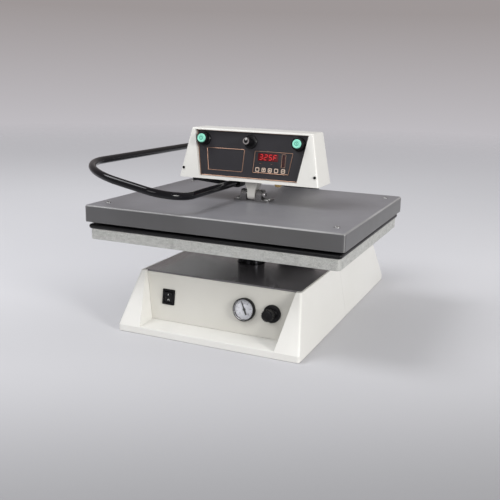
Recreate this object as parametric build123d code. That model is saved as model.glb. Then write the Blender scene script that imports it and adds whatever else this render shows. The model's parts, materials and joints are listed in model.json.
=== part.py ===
from build123d import *
import os
from math import atan2, cos, degrees, pi, radians, sin, tan

os.makedirs("parts", exist_ok=True)

# Automatic swing-away heat press. Sizes are in millimetres. The origin lies on the floor under
# the centre of the platens, +X is the operator's right, -Y is towards the operator, +Z is up.

# Casing of the base: a truncated pyramid on a short upright lip
base_width = 408.0
base_front = 233.0
base_back = 434.0
base_height = 122.6
lip_height = 14.0
floor_gap = 1.0
top_width = 366.0
top_front = 174.5
top_back = 376.0
casing_wall = 3.0
casing_corner = 6.0
casing_edge = 2.0
seam_y = 78.0
seam_gap = 0.5
joggle = 9.0
joggle_wall = 2.0
fit_gap = 0.3

# Recessed control panel between the two fins of the base
fin_top = 11.6
fin_foot = 52.0
panel_setback = 7.7
panel_lean = 8.0
panel_thickness = 2.5
panel_seat = 10.0
ledge_back = 19.0
ledge_front = 14.5
control_drop = 52.5

# Dark plate let into the top of the base
plate_thickness = 3.0
plate_seat = 3.0
plate_border = 4.0
plate_ledge = 11.5

# Chassis plate and its rails
chassis_thickness = 5.0
rail_width = 26.0
rail_height = 18.0
rail_wall = 2.5
rail_offset = 118.0
stand_bolt_x = 300.0
stand_bolt_y = 520.0
stand_hole = 9.0
lug_length = 22.0
lug_width = 16.0
lug_height = 10.0
screw_shank = 4.8
screw_head = 9.6

# Rocker switch
switch_margin = 46.9
switch_width = 29.3
switch_height = 33.3
switch_proud = 2.2
switch_depth = 24.0
rocker_width = 19.6
rocker_height = 23.6
rocker_gap = 0.5
rocker_tilt = 9.0
rocker_rise = 2.5
rocker_skirt = 5.0
rocker_well = 13.0
rocker_pivot = 3.0
pivot_reach = 1.2

# Pressure gauge
gauge_spacing = 60.6
gauge_rim = 48.0
gauge_body = 43.6
gauge_proud = 9.0
gauge_depth = 26.0
gauge_wall = 2.4
glass_thickness = 1.8
dial_thickness = 0.8
needle_length = 17.4
needle_rest = 25.0

# Air pressure regulator
regulator_margin = 38.5
regulator_ring = 37.0
regulator_ring_height = 6.0
regulator_knob = 25.0
regulator_reach = 33.0
regulator_neck = 16.0
regulator_block = 44.0
regulator_neck_height = 9.0
knob_flutes = 16
flute_size = 2.6

# Air cylinder under the lower table
barrel_bore = 122.0
barrel_wall = 4.0
cylinder_flange = 152.0
cylinder_flange_height = 10.0
cylinder_top = 89.0
tie_rod = 10.0
tie_rod_spacing = 124.0
tie_nut = 17.0
tie_nut_height = 8.0
head_cap_height = 18.0
head_cap_boss = 84.0
head_cap_boss_height = 7.0
piston_height = 22.0
piston_gap = 0.1
piston_drop = 2.0
post_diameter = 60.0
post_bore = 36.0
bush_wall = 4.0
running_gap = 0.05
frame_bolt = 8.0
bolt_head_height = 5.5
bolt_head_width = 13.0

# Lower table and pad
table_gap = 68.4
table_width = 546.0
table_depth = 458.0
table_thickness = 22.6
table_corner = 10.0
table_flange = 132.0
table_flange_height = 13.0
table_screw_circle = 104.0
table_screws_count = 6
piston_spigot = 22.0
pad_width = 551.0
pad_depth = 462.0
pad_thickness = 9.4
pad_corner = 6.0

# Upper platen
platen_gap = 3.0
heater_width = 548.0
heater_depth = 458.0
heater_thickness = 20.0
heater_corner = 8.0
heater_proud = 2.5
cover_width = 563.0
cover_depth = 470.0
cover_height = 35.2
cover_wall = 2.0
cover_corner = 7.0
cover_edge = 4.0
element_diameter = 8.0
element_runs = 6
element_pitch = 68.0
element_margin = 44.0
insulation_margin = 14.0
spacer_diameter = 12.0
spacer_x = 252.0
spacer_y = 190.0
cover_screw = 6.0
cover_screw_head = 11.0
cover_screw_head_height = 2.8

# Clevis hanger on the platen and the cross pin
hanger_length = 84.0
hanger_depth = 26.0
hanger_bridge = 10.0
hanger_plate = 4.0
hanger_screw_x = 34.0
hanger_screw_y = 7.0
ear_inside = 11.0
ear_thickness = 14.0
ear_rise = 10.5
ear_round = 5.0
pin_height = 14.5
pin_diameter = 10.0
pin_head = 17.0
pin_head_height = 6.0
pin_socket = 8.0

# Swing arm with its hub and front lug
head_gap = 46.0
arm_width = 84.0
arm_height = 56.0
arm_wall = 6.0
arm_front = 13.0
lug_foot_half = 9.0
lug_top_half = 14.0
lug_flare_start = 10.8
lug_flare_rise = 12.0
lug_radius = 13.0
lug_gap = 2.0
hub_diameter = 108.0
hub_below = 12.0
hub_above = 2.0
hub_cap_wall = 2.5
hub_cap_height = 17.0

# Rear column
column_y = 310.0
column_diameter = 100.0
column_wall = 8.0
foot_diameter = 170.0
foot_height = 12.0
foot_bolt_circle = 144.0
gusset_height = 48.0
gusset_thickness = 8.0
spindle_diameter = 60.0
spindle_plug = 50.0
arm_bush_length = 26.0
arm_bush_flange = 84.0
arm_bush_flange_height = 4.0
rest_gap = 0.1
nut_diameter = 78.0
nut_height = 8.0
nut_thread = 50.0

# Control head
head_width = 328.0
head_top_width = 284.0
head_height = 109.0
head_front = 41.0
head_top_front = 24.0
head_back = 45.0
head_wall = 2.5
head_corner = 5.0
head_edge = 3.0
head_setback = 8.0
head_rim = 4.0
head_ledge_back = 6.0
head_ledge_front = 4.8
head_opening_top = 132.5
head_opening_foot = 115.0
head_panel_thickness = 2.5
head_panel_seat = 6.0
head_plate = 2.0
wing_screw_x = 153.8
wing_screw_z = 20.5
wing_screw_head = 6.0
head_slots = 5
tray_gap = 0.8
gland_x = 68.0
gland_y = -24.0
gland_thread = 10.0
gland_hex = 15.0
gland_height = 7.0

# Controls of the head, placed from the head's underside
button_x = 111.0
button_z = 85.3
holder_flange = 30.0
holder_flange_height = 4.0
holder_sleeve = 26.0
holder_reach = 16.0
holder_thread = 22.0
holder_depth = 30.0
cap_diameter = 18.8
cap_proud = 3.6
cap_gap = 0.2
cap_seat = 10.0
button_travel = 3.5
selector_z = 84.0
selector_diameter = 19.0
selector_tip = 16.0
selector_reach = 27.0
face_thickness = 0.8
face_x0 = 9.0
face_top_x1 = 100.0
face_foot_x1 = 93.0
face_low = 20.0
face_high = 66.5
display_x = 43.0
display_z = 54.0
display_width = 46.6
display_height = 16.2
bar_x = 79.3
bar_z = 48.5
bar_width = 6.0
bar_height = 25.0
key_xs = (21.2, 35.8, 50.2, 64.6, 80.4)
key_z = 27.2
key_size = 9.6
key_round = 2.4
key_proud = 1.6
key_gap = 0.25
key_travel = 0.8
controller_depth = 9.5
key_depth = 3.0
window_depth = 2.0
controller_edge = 1.2

# Bent tube handle: it runs forward from under the head, across the front of the platen and back
# along its left side to the hub
tube_diameter = 15.9
tube_wall = 1.6
handle_front_x = -51.0
handle_front_y = -255.0
handle_front_drop = 12.7
handle_left_x = -301.5
handle_left_rise = 35.8
handle_start_y = 36.0
front_bend = 70.0
left_bend = 120.0
rear_bend = 70.0
socket_length = 24.0
socket_diameter = 26.0
stay_diameter = 10.0
stay_end_x = -150.0
stay_end_y = 14.0
stay_start_y = -2.0
stay_foot = 16.0
stay_foot_height = 4.0
clamp_width = 24.0
clamp_front = 14.0
clamp_below = 10.0

# Rear fittings
fitting_z = 62.0
gland_cable_x = 105.0
gland_cable_hole = 20.0
gland_cable_hex = 27.0
gland_cable_bore = 8.4
gland_cable_reach = 22.0
gland_cable_depth = 14.0
air_x = -105.0
air_hole = 20.0
air_hex = 26.0
air_bore = 8.1
air_bore_depth = 18.0
air_length = 22.0
vent_slots = 9
vent_length = 46.0
vent_width = 4.0
vent_pitch = 9.0

# Levels that follow from the sizes above
table_low = base_height + table_gap
table_high = table_low + table_thickness
pad_high = table_high + pad_thickness
heater_low = pad_high + platen_gap
heater_high = heater_low + heater_thickness
cover_low = heater_low + heater_proud
cover_high = cover_low + cover_height
pin_z = cover_high + pin_height
head_low = cover_high + head_gap
head_high = head_low + head_height
arm_low = head_low + head_plate
arm_high = arm_low + arm_height
hub_low = arm_low - hub_below
hub_high = arm_high + hub_above
column_high = hub_low - arm_bush_flange_height - rest_gap
piston_high = cylinder_top - piston_drop
lug_flare_low = pin_z + lug_flare_start
lug_flare_high = lug_flare_low + lug_flare_rise
handle_front_z = head_low - handle_front_drop
handle_left_z = head_low + handle_left_rise


def block(x0, x1, y0, y1, z0, z1):
    return Pos((x0 + x1) / 2, (y0 + y1) / 2, (z0 + z1) / 2) * Box(x1 - x0, y1 - y0, z1 - z0)


def rod(x, y, z0, z1, diameter):
    return Pos(x, y, (z0 + z1) / 2) * Cylinder(diameter / 2, z1 - z0)


def ring(x, y, z0, z1, outside, inside):
    return rod(x, y, z0, z1, outside) - rod(x, y, z0 - 1, z1 + 1, inside)


def slab(width, depth, corner, z0, z1, x=0.0, y=0.0):
    return Pos(x, y, z0) * extrude(RectangleRounded(width, depth, corner), z1 - z0)


def hexagon_bar(x, y, z0, z1, across):
    return Pos(x, y, z0) * extrude(RegularPolygon(across / 2, 6, major_radius=False), z1 - z0)


def quad(points):
    return make_face(Polyline(*points, close=True))


def wedge(low_half, high_half, back, front):
    """Block between two upright quads given as (y, z) pairs, low edge first, whose half width
    depends on the height alone."""
    faces = []
    for (y0, z0), (y1, z1) in (back, front):
        a, b = low_half(z0), high_half(z1)
        faces.append(quad([(-a, y0, z0), (a, y0, z0), (b, y1, z1), (-b, y1, z1)]))
    return loft(faces, ruled=True)


# Base casing

def base_share(z):
    return (z - lip_height) / (base_height - lip_height)


def base_half(z):
    return base_width / 2 + (top_width - base_width) / 2 * base_share(z)


def base_front_at(z):
    return -base_front + (base_front - top_front) * base_share(z)


def base_back_at(z):
    return base_back + (top_back - base_back) * base_share(z)


def base_slice(z, inset):
    y0, y1 = base_front_at(z) + inset, base_back_at(z) - inset
    outline = RectangleRounded(2 * (base_half(z) - inset), y1 - y0, casing_corner)
    return Pos(0, (y0 + y1) / 2, z) * outline


def base_block(inset, z0, z1):
    foot = base_slice(lip_height, inset)
    lip = extrude(Pos(0, 0, z0 - lip_height) * foot, lip_height - z0)
    return lip + loft([foot, base_slice(z1, inset)])


def opening_half(z):
    """Half the width between the fins, which narrows downwards."""
    foot, top = base_width / 2 - fin_foot, top_width / 2 - fin_top
    return foot + (top - foot) * (z - ledge_back) / (base_height - ledge_back)


def panel_face_y(z):
    return -(top_front - panel_setback) - (base_height - z) * tan(radians(panel_lean))


def base_recess(depth, grow):
    """Space in front of the panel, from depth behind its face, with its walls moved out by grow."""
    high = base_height + 2 * casing_wall
    low_back, low_front = ledge_back - grow, ledge_front - grow
    push = depth / cos(radians(panel_lean))
    out = -base_front - 4 * casing_wall

    def half(z):
        return opening_half(z) + grow

    back = ((panel_face_y(low_back) + push, low_back), (panel_face_y(high) + push, high))
    return wedge(half, half, back, ((out, low_front), (out, high)))


def panel_blank(depth0, depth1, margin, high):
    """Plate parallel to the panel's face, margin inside the recess's sides and foot."""
    low = ledge_back + margin

    def half(z):
        return opening_half(z) - margin

    def edge(depth):
        push = depth / cos(radians(panel_lean))
        return ((panel_face_y(low) + push, low), (panel_face_y(high) + push, high))

    return wedge(half, half, edge(depth1), edge(depth0))


panel_plane = Plane(
    origin=(0, panel_face_y(base_height), base_height),
    x_dir=(1, 0, 0),
    z_dir=(0, -cos(radians(panel_lean)), sin(radians(panel_lean))),
)
base_back_lean = atan2(base_back - top_back, base_height - lip_height)
control_half = opening_half(base_height - control_drop)
switch_x = switch_margin - control_half
regulator_x = control_half - regulator_margin
gauge_x = regulator_x - gauge_spacing
back_plane = Plane(
    origin=(0, base_back_at(fitting_z), fitting_z),
    x_dir=(-1, 0, 0),
    z_dir=(0, cos(base_back_lean), sin(base_back_lean)),
)


def on_panel(x):
    """Place on the control panel, turned so that its local +Z points out of the panel."""
    return panel_plane.location * Pos(x, -control_drop, 0)


def on_back(x):
    return back_plane.location * Pos(-x, 0, 0)


def plate_blank(margin, z0, z1):
    half = top_width / 2 - plate_border - margin
    y0 = panel_face_y(base_height) + margin
    y1 = top_back - plate_border - margin
    return slab(2 * half, y1 - y0, casing_corner, z0, z1, 0, (y0 + y1) / 2)


def lug_places():
    wall_y = (seam_y - 190.0, seam_y + 110.0, seam_y + 270.0)
    return [(side, y) for side in (-1, 1) for y in wall_y]


def lug_x(side):
    return side * (base_width / 2 - casing_wall - lug_width / 2)


def base_casing():
    outer = base_block(0, floor_gap, base_height)
    outer = fillet(outer.edges().group_by(Axis.Z)[-1], casing_edge)
    cavity_high = base_height - plate_thickness - plate_seat
    seat_depth = panel_thickness + fit_gap
    cavity = base_block(casing_wall, floor_gap - 1, cavity_high)
    cavity -= base_recess(seat_depth + casing_wall, casing_wall)
    body = outer - base_recess(seat_depth, 0) - cavity
    body -= panel_blank(-1, seat_depth + 2 * casing_wall, panel_seat, cavity_high - panel_seat)
    body -= plate_blank(0, base_height - plate_thickness, base_height + 1)
    body -= plate_blank(plate_ledge, cavity_high - 1, base_height)
    body -= rod(0, column_y, cavity_high - 1, base_height, column_diameter + 3)
    for side, y in lug_places():
        x = lug_x(side)
        lug = block(x - lug_width / 2, x + lug_width / 2, y - lug_length / 2, y + lug_length / 2,
                    chassis_thickness, chassis_thickness + lug_height)
        body += lug - rod(x, y, chassis_thickness - 1, chassis_thickness + lug_height + 1, screw_shank)
    return body


def base_front_cover(casing):
    half = base_width / 2 + 1
    front = casing & block(-half, half, -base_front - 1, seam_y - seam_gap / 2, 0, base_height + 1)
    tongue_high = base_height - plate_thickness - plate_seat - fit_gap
    inside = casing_wall + fit_gap
    core = base_block(inside + joggle_wall, 0, tongue_high + joggle_wall)
    reach = block(-half, half, seam_y - joggle, seam_y + joggle, lip_height, tongue_high)
    root = block(-half, half, seam_y - joggle, seam_y - seam_gap / 2, lip_height, tongue_high)
    tongue = (base_block(inside, 0, tongue_high + joggle_wall) - core) & reach
    tongue += (base_block(casing_wall - fit_gap, 0, tongue_high + joggle_wall) - core) & root
    return front + tongue


def base_rear_cover(casing):
    half = base_width / 2 + 1
    rear = casing & block(-half, half, seam_y + seam_gap / 2, base_back + 1, 0, base_height + 1)
    cut = 4 * casing_wall
    rear -= on_back(gland_cable_x) * Cylinder(gland_cable_hole / 2, cut)
    rear -= on_back(air_x) * Cylinder(air_hole / 2, cut)
    for i in range(vent_slots):
        x = (i - (vent_slots - 1) / 2) * vent_pitch
        slot = extrude(SlotOverall(vent_length, vent_width, 90), casing_wall * 2, both=True)
        rear -= back_plane.location * Pos(x, 0, 0) * slot
    return rear


def control_panel():
    high = base_height - plate_thickness - fit_gap
    panel = panel_blank(0, panel_thickness, fit_gap, high)
    cut = 4 * panel_thickness
    panel -= on_panel(switch_x) * Box(switch_width - 3, switch_height - 3, cut)
    panel -= on_panel(gauge_x) * Cylinder(gauge_body / 2 + fit_gap, cut)
    panel -= on_panel(regulator_x) * Cylinder(regulator_neck / 2 + fit_gap, cut)
    return panel


def top_plate():
    plate = plate_blank(fit_gap, base_height - plate_thickness, base_height)
    z0, z1 = base_height - plate_thickness - 1, base_height + 1
    plate -= rod(0, 0, z0, z1, post_diameter + 4)
    plate -= rod(0, column_y, z0, z1, column_diameter + 3)
    return plate


def chassis():
    y_mid = (base_back - base_front) / 2
    outline = Pos(0, 0, -lip_height) * base_slice(lip_height, casing_wall + fit_gap)
    plate = extrude(outline, chassis_thickness)
    for side in (-1, 1):
        y = side * rail_offset
        length = base_width / 2 - casing_wall - lug_width - rail_width
        outside = block(-length, length, y - rail_width / 2, y + rail_width / 2,
                        chassis_thickness, chassis_thickness + rail_height)
        inner = rail_width / 2 - rail_wall
        plate += outside - block(-length - 1, length + 1, y - inner, y + inner,
                                 chassis_thickness, chassis_thickness + rail_height - rail_wall)
    for x in (-stand_bolt_x / 2, stand_bolt_x / 2):
        for y in (y_mid - stand_bolt_y / 2, y_mid + stand_bolt_y / 2):
            plate -= rod(x, y, -1, chassis_thickness + 1, stand_hole)
    for x, y in foot_bolt_places():
        plate -= rod(x, y, -1, chassis_thickness + 1, frame_bolt)
    for x, y in tie_rod_places():
        plate -= rod(x, y, -1, chassis_thickness + 1, tie_rod)
    for side, y in lug_places():
        plate -= Pos(lug_x(side), y, 0) * countersunk_shape(fit_gap / 2)
    return plate


def countersunk_shape(grow):
    """Countersunk screw standing head down on the floor, grown all round by a clearance."""
    head = screw_head / 2 + grow
    shank = screw_shank / 2 + grow
    taper = head - shank
    return Cone(head, shank, taper, align=(Align.CENTER, Align.CENTER, Align.MIN)) + Cylinder(
        shank, chassis_thickness + lug_height - 2 + grow, align=(Align.CENTER, Align.CENTER, Align.MIN))


def casing_screws():
    screws = []
    for side, y in lug_places():
        slot = Box(1.2, screw_head, 2)
        screws.append(Pos(lug_x(side), y, 0) * (countersunk_shape(0) - slot))
    return screws


# Rocker switch, gauge and regulator of the base

def rocker_bezel():
    body = extrude(RectangleRounded(switch_width, switch_height, 2), switch_proud)
    body = fillet(body.faces().sort_by(Axis.Z)[-1].edges(), 0.8)
    body += Pos(0, 0, -switch_depth / 2) * Box(switch_width - 3.6, switch_height - 3.6, switch_depth)
    well = Box(rocker_width + 2 * rocker_gap, rocker_height + 2 * rocker_gap, 2 * rocker_well)
    pivots = Rot(0, 90, 0) * Cylinder(rocker_pivot / 2 + running_gap, rocker_width + 2 * pivot_reach + 1)
    return on_panel(switch_x) * (body - Pos(0, 0, switch_proud) * well - pivots)


def rocker():
    """Paddle whose two faces meet in a shallow valley, turned with its lower half pressed in."""
    reach, foot = rocker_height / 2 - 0.8, rocker_height / 2 - 2.6
    profile = make_face(Polyline(
        (-foot, -rocker_skirt), (foot, -rocker_skirt), (reach, rocker_rise), (0, rocker_rise - 1.2),
        (-reach, rocker_rise), close=True))
    paddle = extrude(Plane.YZ.offset(-rocker_width / 2) * profile, rocker_width)
    paddle += Rot(0, 90, 0) * Cylinder(rocker_pivot / 2, rocker_width + 2 * pivot_reach)
    return on_panel(switch_x) * Rot(rocker_tilt, 0, 0) * paddle


def gauge_case():
    z0 = -gauge_depth
    case = rod(0, 0, z0, 0, gauge_body) + rod(0, 0, 0, gauge_proud, gauge_rim)
    case = fillet(case.edges().group_by(Axis.Z)[-1], 1.2)
    bore = gauge_rim - 2 * gauge_wall
    case -= rod(0, 0, gauge_proud - glass_thickness - 1.2, gauge_proud + 1, bore)
    case -= rod(0, 0, 1.0, gauge_proud, bore - 2)
    case += rod(0, 0, z0 - 14, z0, 13) + rod(0, 0, z0 - 22, z0 - 14, 10)
    return on_panel(gauge_x) * case


def gauge_dial():
    dial = rod(0, 0, 1.0, 1.0 + dial_thickness, gauge_rim - 2 * gauge_wall - 2.4)
    return on_panel(gauge_x) * (dial - Cylinder(1.3, 12))


def gauge_glass():
    top = gauge_proud - 1.2
    return on_panel(gauge_x) * rod(0, 0, top - glass_thickness, top, gauge_rim - 2 * gauge_wall - 0.4)


def gauge_needle():
    z0 = 1.0 + dial_thickness + 1.0
    tail = needle_length * 0.3
    blade = extrude(
        make_face(Polyline((-1.3, -tail), (1.3, -tail), (0.35, needle_length),
                           (-0.35, needle_length), close=True)), 0.6)
    hub = rod(0, 0, -0.2, 1.2, 5.0) + rod(0, 0, -1.6, 0.2, 2.2)
    return on_panel(gauge_x) * Rot(0, 0, needle_rest) * Pos(0, 0, z0) * (blade + hub)


def regulator_nut():
    nut = rod(0, 0, 0, regulator_ring_height, regulator_ring)
    nut = chamfer(nut.edges().group_by(Axis.Z)[-1], 1.5)
    for i in range(knob_flutes):
        place = Rot(0, 0, i * 360 / knob_flutes) * Pos(regulator_ring / 2, 0, 0)
        nut -= place * rod(0, 0, -1, regulator_ring_height + 1, 2.2)
    return on_panel(regulator_x) * (nut - rod(0, 0, -1, regulator_ring_height + 1, regulator_neck))


def regulator_body():
    neck = rod(0, 0, -panel_thickness, regulator_neck_height, regulator_neck)
    middle = -panel_thickness - regulator_block / 2
    body = Pos(0, 0, middle) * Box(regulator_block, regulator_block, regulator_block)
    body = fillet(body.edges().filter_by(Axis.Z), 3)
    return on_panel(regulator_x) * (body + neck)


def regulator_knob_part():
    z0 = regulator_ring_height + 0.5
    knob = rod(0, 0, z0, regulator_reach, regulator_knob)
    knob = chamfer(knob.edges().group_by(Axis.Z)[-1], 1.5)
    for i in range(knob_flutes):
        place = Rot(0, 0, i * 360 / knob_flutes) * Pos(regulator_knob / 2 + flute_size * 0.35, 0, 0)
        knob -= place * rod(0, 0, z0 + 5, regulator_reach + 1, flute_size)
    knob -= rod(0, 0, z0 - 1, regulator_neck_height + 0.5, regulator_neck + 2 * fit_gap)
    return on_panel(regulator_x) * knob


def solenoid_valve():
    x0, y0, z0 = -150.0, -60.0, chassis_thickness
    body = block(x0, x0 + 34, y0, y0 + 70, z0, z0 + 26)
    body = chamfer(body.edges().filter_by(Axis.Z), 2)
    coil = rod(x0 + 17, y0 + 20, z0 + 26, z0 + 62, 30)
    coil += block(x0 + 4, x0 + 30, y0 + 4, y0 + 14, z0 + 30, z0 + 54)
    stem = rod(x0 + 17, y0 + 20, z0 + 62, z0 + 68, 10)
    port = Pos(x0 + 17, y0 + 52, z0 + 26) * Cylinder(7, 12, align=(Align.CENTER, Align.CENTER, Align.MIN))
    return body + coil + stem + port


def air_inlet():
    nut_part = hexagon_bar(0, 0, 0, 6, air_hex)
    neck = rod(0, 0, -16, 0, air_hole - 1) + rod(0, 0, 6, air_length, air_hole - 3)
    neck = chamfer(neck.edges().group_by(Axis.Z)[-1], 1)
    body = nut_part + neck
    return on_back(air_x) * (body - rod(0, 0, air_length - air_bore_depth, air_length + 1, air_bore))


def cable_gland():
    dome = rod(0, 0, 6, gland_cable_reach, gland_cable_hex - 5)
    dome = fillet(dome.edges().group_by(Axis.Z)[-1], 4)
    body = dome + hexagon_bar(0, 0, 0, 7, gland_cable_hex)
    body += rod(0, 0, -gland_cable_depth, 0, gland_cable_hole - 1)
    bore = rod(0, 0, -gland_cable_depth - 1, gland_cable_reach + 1, gland_cable_bore)
    return on_back(gland_cable_x) * (body - bore)


# Air cylinder, rear column and their bolts

def tie_rod_places():
    c = tie_rod_spacing / 2
    return [(x, y) for x in (-c, c) for y in (-c, c)]


def foot_bolt_places():
    r = foot_bolt_circle / 2
    turns = [radians(60 * i + 30) for i in range(6)]
    return [(r * cos(a), column_y + r * sin(a)) for a in turns]


def foot_bolts():
    bolts = []
    z = chassis_thickness + foot_height
    for x, y in foot_bolt_places():
        head = hexagon_bar(x, y, z, z + bolt_head_height, bolt_head_width)
        bolts.append(head + rod(x, y, 0.5, z, frame_bolt))
    return bolts


def tie_rods():
    rods = []
    z = cylinder_top + head_cap_height
    for x, y in tie_rod_places():
        nut = hexagon_bar(x, y, z, z + tie_nut_height, tie_nut)
        rods.append(nut + rod(x, y, 0.5, z + tie_nut_height + 2, tie_rod))
    return rods


def cylinder_barrel():
    z0 = chassis_thickness
    z1 = z0 + cylinder_flange_height
    outside = barrel_bore + 2 * barrel_wall
    barrel = slab(cylinder_flange, cylinder_flange, 12, z0, z1) + rod(0, 0, z1, cylinder_top, outside)
    port = Pos(0, -outside / 2 - 4, z1 + 12) * Rot(90, 0, 0)
    barrel += port * Cylinder(9, 12)
    barrel -= rod(0, 0, z1, cylinder_top + 1, barrel_bore) + port * Cylinder(4, 30)
    for x, y in tie_rod_places():
        barrel -= rod(x, y, z0 - 1, z1 + 1, tie_rod)
    return barrel


def cylinder_head():
    z0, z1 = cylinder_top, cylinder_top + head_cap_height
    cap = slab(cylinder_flange, cylinder_flange, 12, z0, z1)
    cap = chamfer(cap.edges().group_by(Axis.Z)[-1], 2)
    cap += rod(0, 0, z1, z1 + head_cap_boss_height, head_cap_boss)
    for x, y in tie_rod_places():
        cap -= rod(x, y, z0 - 1, z1 + 1, tie_rod)
    return cap - rod(0, 0, z0 - 1, z1 + head_cap_boss_height + 1, post_diameter + 2 * bush_wall)


def rod_bush():
    z0, z1 = cylinder_top, cylinder_top + head_cap_height + head_cap_boss_height
    return ring(0, 0, z0, z1, post_diameter + 2 * bush_wall, post_diameter + 2 * running_gap)


def column():
    z0 = chassis_thickness
    z1 = z0 + foot_height
    body = rod(0, column_y, z0, z1, foot_diameter)
    body += rod(0, column_y, z1, column_high, column_diameter)
    gusset = extrude(Plane.XZ * make_face(Polyline(
        (column_diameter / 2 - 2, z1), (foot_diameter / 2 - 6, z1), (foot_diameter / 2 - 6, z1 + 4),
        (column_diameter / 2 + 3, z1 + gusset_height), (column_diameter / 2 - 2, z1 + gusset_height),
        close=True)), gusset_thickness / 2, both=True)
    for i in range(6):
        body += Pos(0, column_y, 0) * Rot(0, 0, 60 * i) * gusset
    body -= rod(0, column_y, z0 - 1, column_high + 1, column_diameter - 2 * column_wall)
    for x, y in foot_bolt_places():
        body -= rod(x, y, z0 - 1, z1 + 1, frame_bolt)
    return body


def spindle():
    plug = column_diameter - 2 * column_wall
    top = hub_high + arm_bush_flange_height + rest_gap
    shaft = rod(0, column_y, column_high - spindle_plug, column_high, plug)
    shaft += rod(0, column_y, column_high, top, spindle_diameter)
    shaft += rod(0, column_y, top, top + nut_height + 1, nut_thread)
    shaft = chamfer(shaft.edges().group_by(Axis.Z)[-1], 1)
    return shaft - rod(0, column_y, column_high - spindle_plug - 1, top + nut_height + 2, spindle_diameter / 2)


def spindle_nut():
    z0 = hub_high + arm_bush_flange_height + rest_gap
    nut = ring(0, column_y, z0, z0 + nut_height, nut_diameter, nut_thread)
    for i in range(4):
        notch = Pos(nut_diameter / 2, 0, z0 + nut_height / 2) * Box(8, 8, nut_height + 2)
        nut -= Pos(0, column_y, 0) * Rot(0, 0, 90 * i) * notch
    return nut


# Lower table: it rides on the piston's post

def piston():
    body = rod(0, 0, piston_high - piston_height, piston_high, barrel_bore - 2 * piston_gap)
    z = piston_high - piston_height / 2
    body -= ring(0, 0, z - 3, z + 3, barrel_bore + 4, barrel_bore - 10)
    return body + rod(0, 0, piston_high, piston_high + piston_spigot, post_bore)


def table_screw_places():
    r = table_screw_circle / 2
    turns = [2 * pi * i / table_screws_count for i in range(table_screws_count)]
    return [(r * cos(a), r * sin(a)) for a in turns]


def lift_post():
    z0 = table_low - table_flange_height
    post = rod(0, 0, piston_high, table_low, post_diameter) + rod(0, 0, z0, table_low, table_flange)
    post = chamfer(post.edges().filter_by(GeomType.CIRCLE).group_by(Axis.Z)[1], 2)
    for x, y in table_screw_places():
        post -= rod(x, y, z0 - 1, table_low + 1, frame_bolt)
    return post - rod(0, 0, piston_high - 1, table_low + 1, post_bore)


def table_screws():
    screws = []
    z = table_low - table_flange_height
    for x, y in table_screw_places():
        head = rod(x, y, z - frame_bolt, z, bolt_head_width) - hexagon_bar(x, y, z - frame_bolt - 1, z - 4, 6)
        screws.append(head + rod(x, y, z, table_low + 12, frame_bolt))
    return screws


def lower_table():
    table = slab(table_width, table_depth, table_corner, table_low, table_high)
    table = fillet(table.edges().group_by(Axis.Z)[0], 1.5)
    table = fillet(table.edges().group_by(Axis.Z)[-1], 1.0)
    for x, y in table_screw_places():
        table -= rod(x, y, table_low - 1, table_low + 12, frame_bolt)
    return table


def press_pad():
    return slab(pad_width, pad_depth, pad_corner, table_high, pad_high)


# Upper platen

def spacer_places():
    corners = [(x, y) for x in (-spacer_x, spacer_x) for y in (-spacer_y, spacer_y)]
    centre = [(x, y) for x in (-hanger_screw_x, hanger_screw_x) for y in (-hanger_screw_y, hanger_screw_y)]
    return corners + centre


def element_path():
    """Serpentine of straight runs joined by half turns."""
    reach = heater_width / 2 - element_margin
    points = []
    for i in range(element_runs):
        y = (i - (element_runs - 1) / 2) * element_pitch
        side = -1 if i % 2 == 0 else 1
        points += [(side * reach, y), (-side * reach, y)]
    edges = []
    for i in range(0, len(points), 2):
        edges.append(Line(points[i], points[i + 1]))
        if i + 2 < len(points):
            (x, y), (_, y_next) = points[i + 1], points[i + 2]
            bulge = element_pitch / 2 * (1 if x > 0 else -1)
            edges.append(ThreePointArc((x, y), (x + bulge, (y + y_next) / 2), (x, y_next)))
    return Pos(0, 0, heater_high) * Wire(edges)


def swept_tube(path, diameter):
    start = path.position_at(0)
    profile = Plane(origin=start, z_dir=path.tangent_at(0)) * Circle(diameter / 2)
    return sweep(profile, path=path)


def heating_element():
    return swept_tube(element_path(), element_diameter)


def heater_plate():
    plate = slab(heater_width, heater_depth, heater_corner, heater_low, heater_high)
    plate = fillet(plate.edges().group_by(Axis.Z)[0], 2)
    for x, y in spacer_places():
        plate -= rod(x, y, heater_high - 8, heater_high + 1, cover_screw)
    return plate - swept_tube(element_path(), element_diameter)


def insulation():
    high = cover_high - cover_wall
    low = heater_high + element_diameter / 2
    blanket = slab(heater_width - insulation_margin, heater_depth - insulation_margin, heater_corner, low, high)
    for x, y in spacer_places():
        blanket -= rod(x, y, low - 1, high + 1, spacer_diameter + 1)
    return blanket


def platen_spacers():
    posts = []
    for x, y in spacer_places():
        post = rod(x, y, heater_high, cover_high - cover_wall, spacer_diameter)
        posts.append(post - rod(x, y, heater_high - 1, cover_high, cover_screw))
    return posts


def platen_cover():
    cover = slab(cover_width, cover_depth, cover_corner, cover_low, cover_high)
    cover = fillet(cover.edges().group_by(Axis.Z)[-1], cover_edge)
    inside = slab(cover_width - 2 * cover_wall, cover_depth - 2 * cover_wall,
                  cover_corner - cover_wall, cover_low - 1, cover_high - cover_wall)
    inside = fillet(inside.edges().group_by(Axis.Z)[-1], cover_edge - cover_wall)
    cover -= inside
    for x, y in spacer_places():
        cover -= rod(x, y, cover_high - cover_wall - 1, cover_high + 1, cover_screw)
    return cover


def button_screw(x, y, z_seat, z_tip):
    head = rod(x, y, z_seat, z_seat + cover_screw_head_height, cover_screw_head)
    head = fillet(head.edges().group_by(Axis.Z)[-1], 1.4)
    head -= hexagon_bar(x, y, z_seat + 1, z_seat + cover_screw_head_height + 1, 4)
    return head + rod(x, y, z_tip, z_seat, cover_screw)


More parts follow.
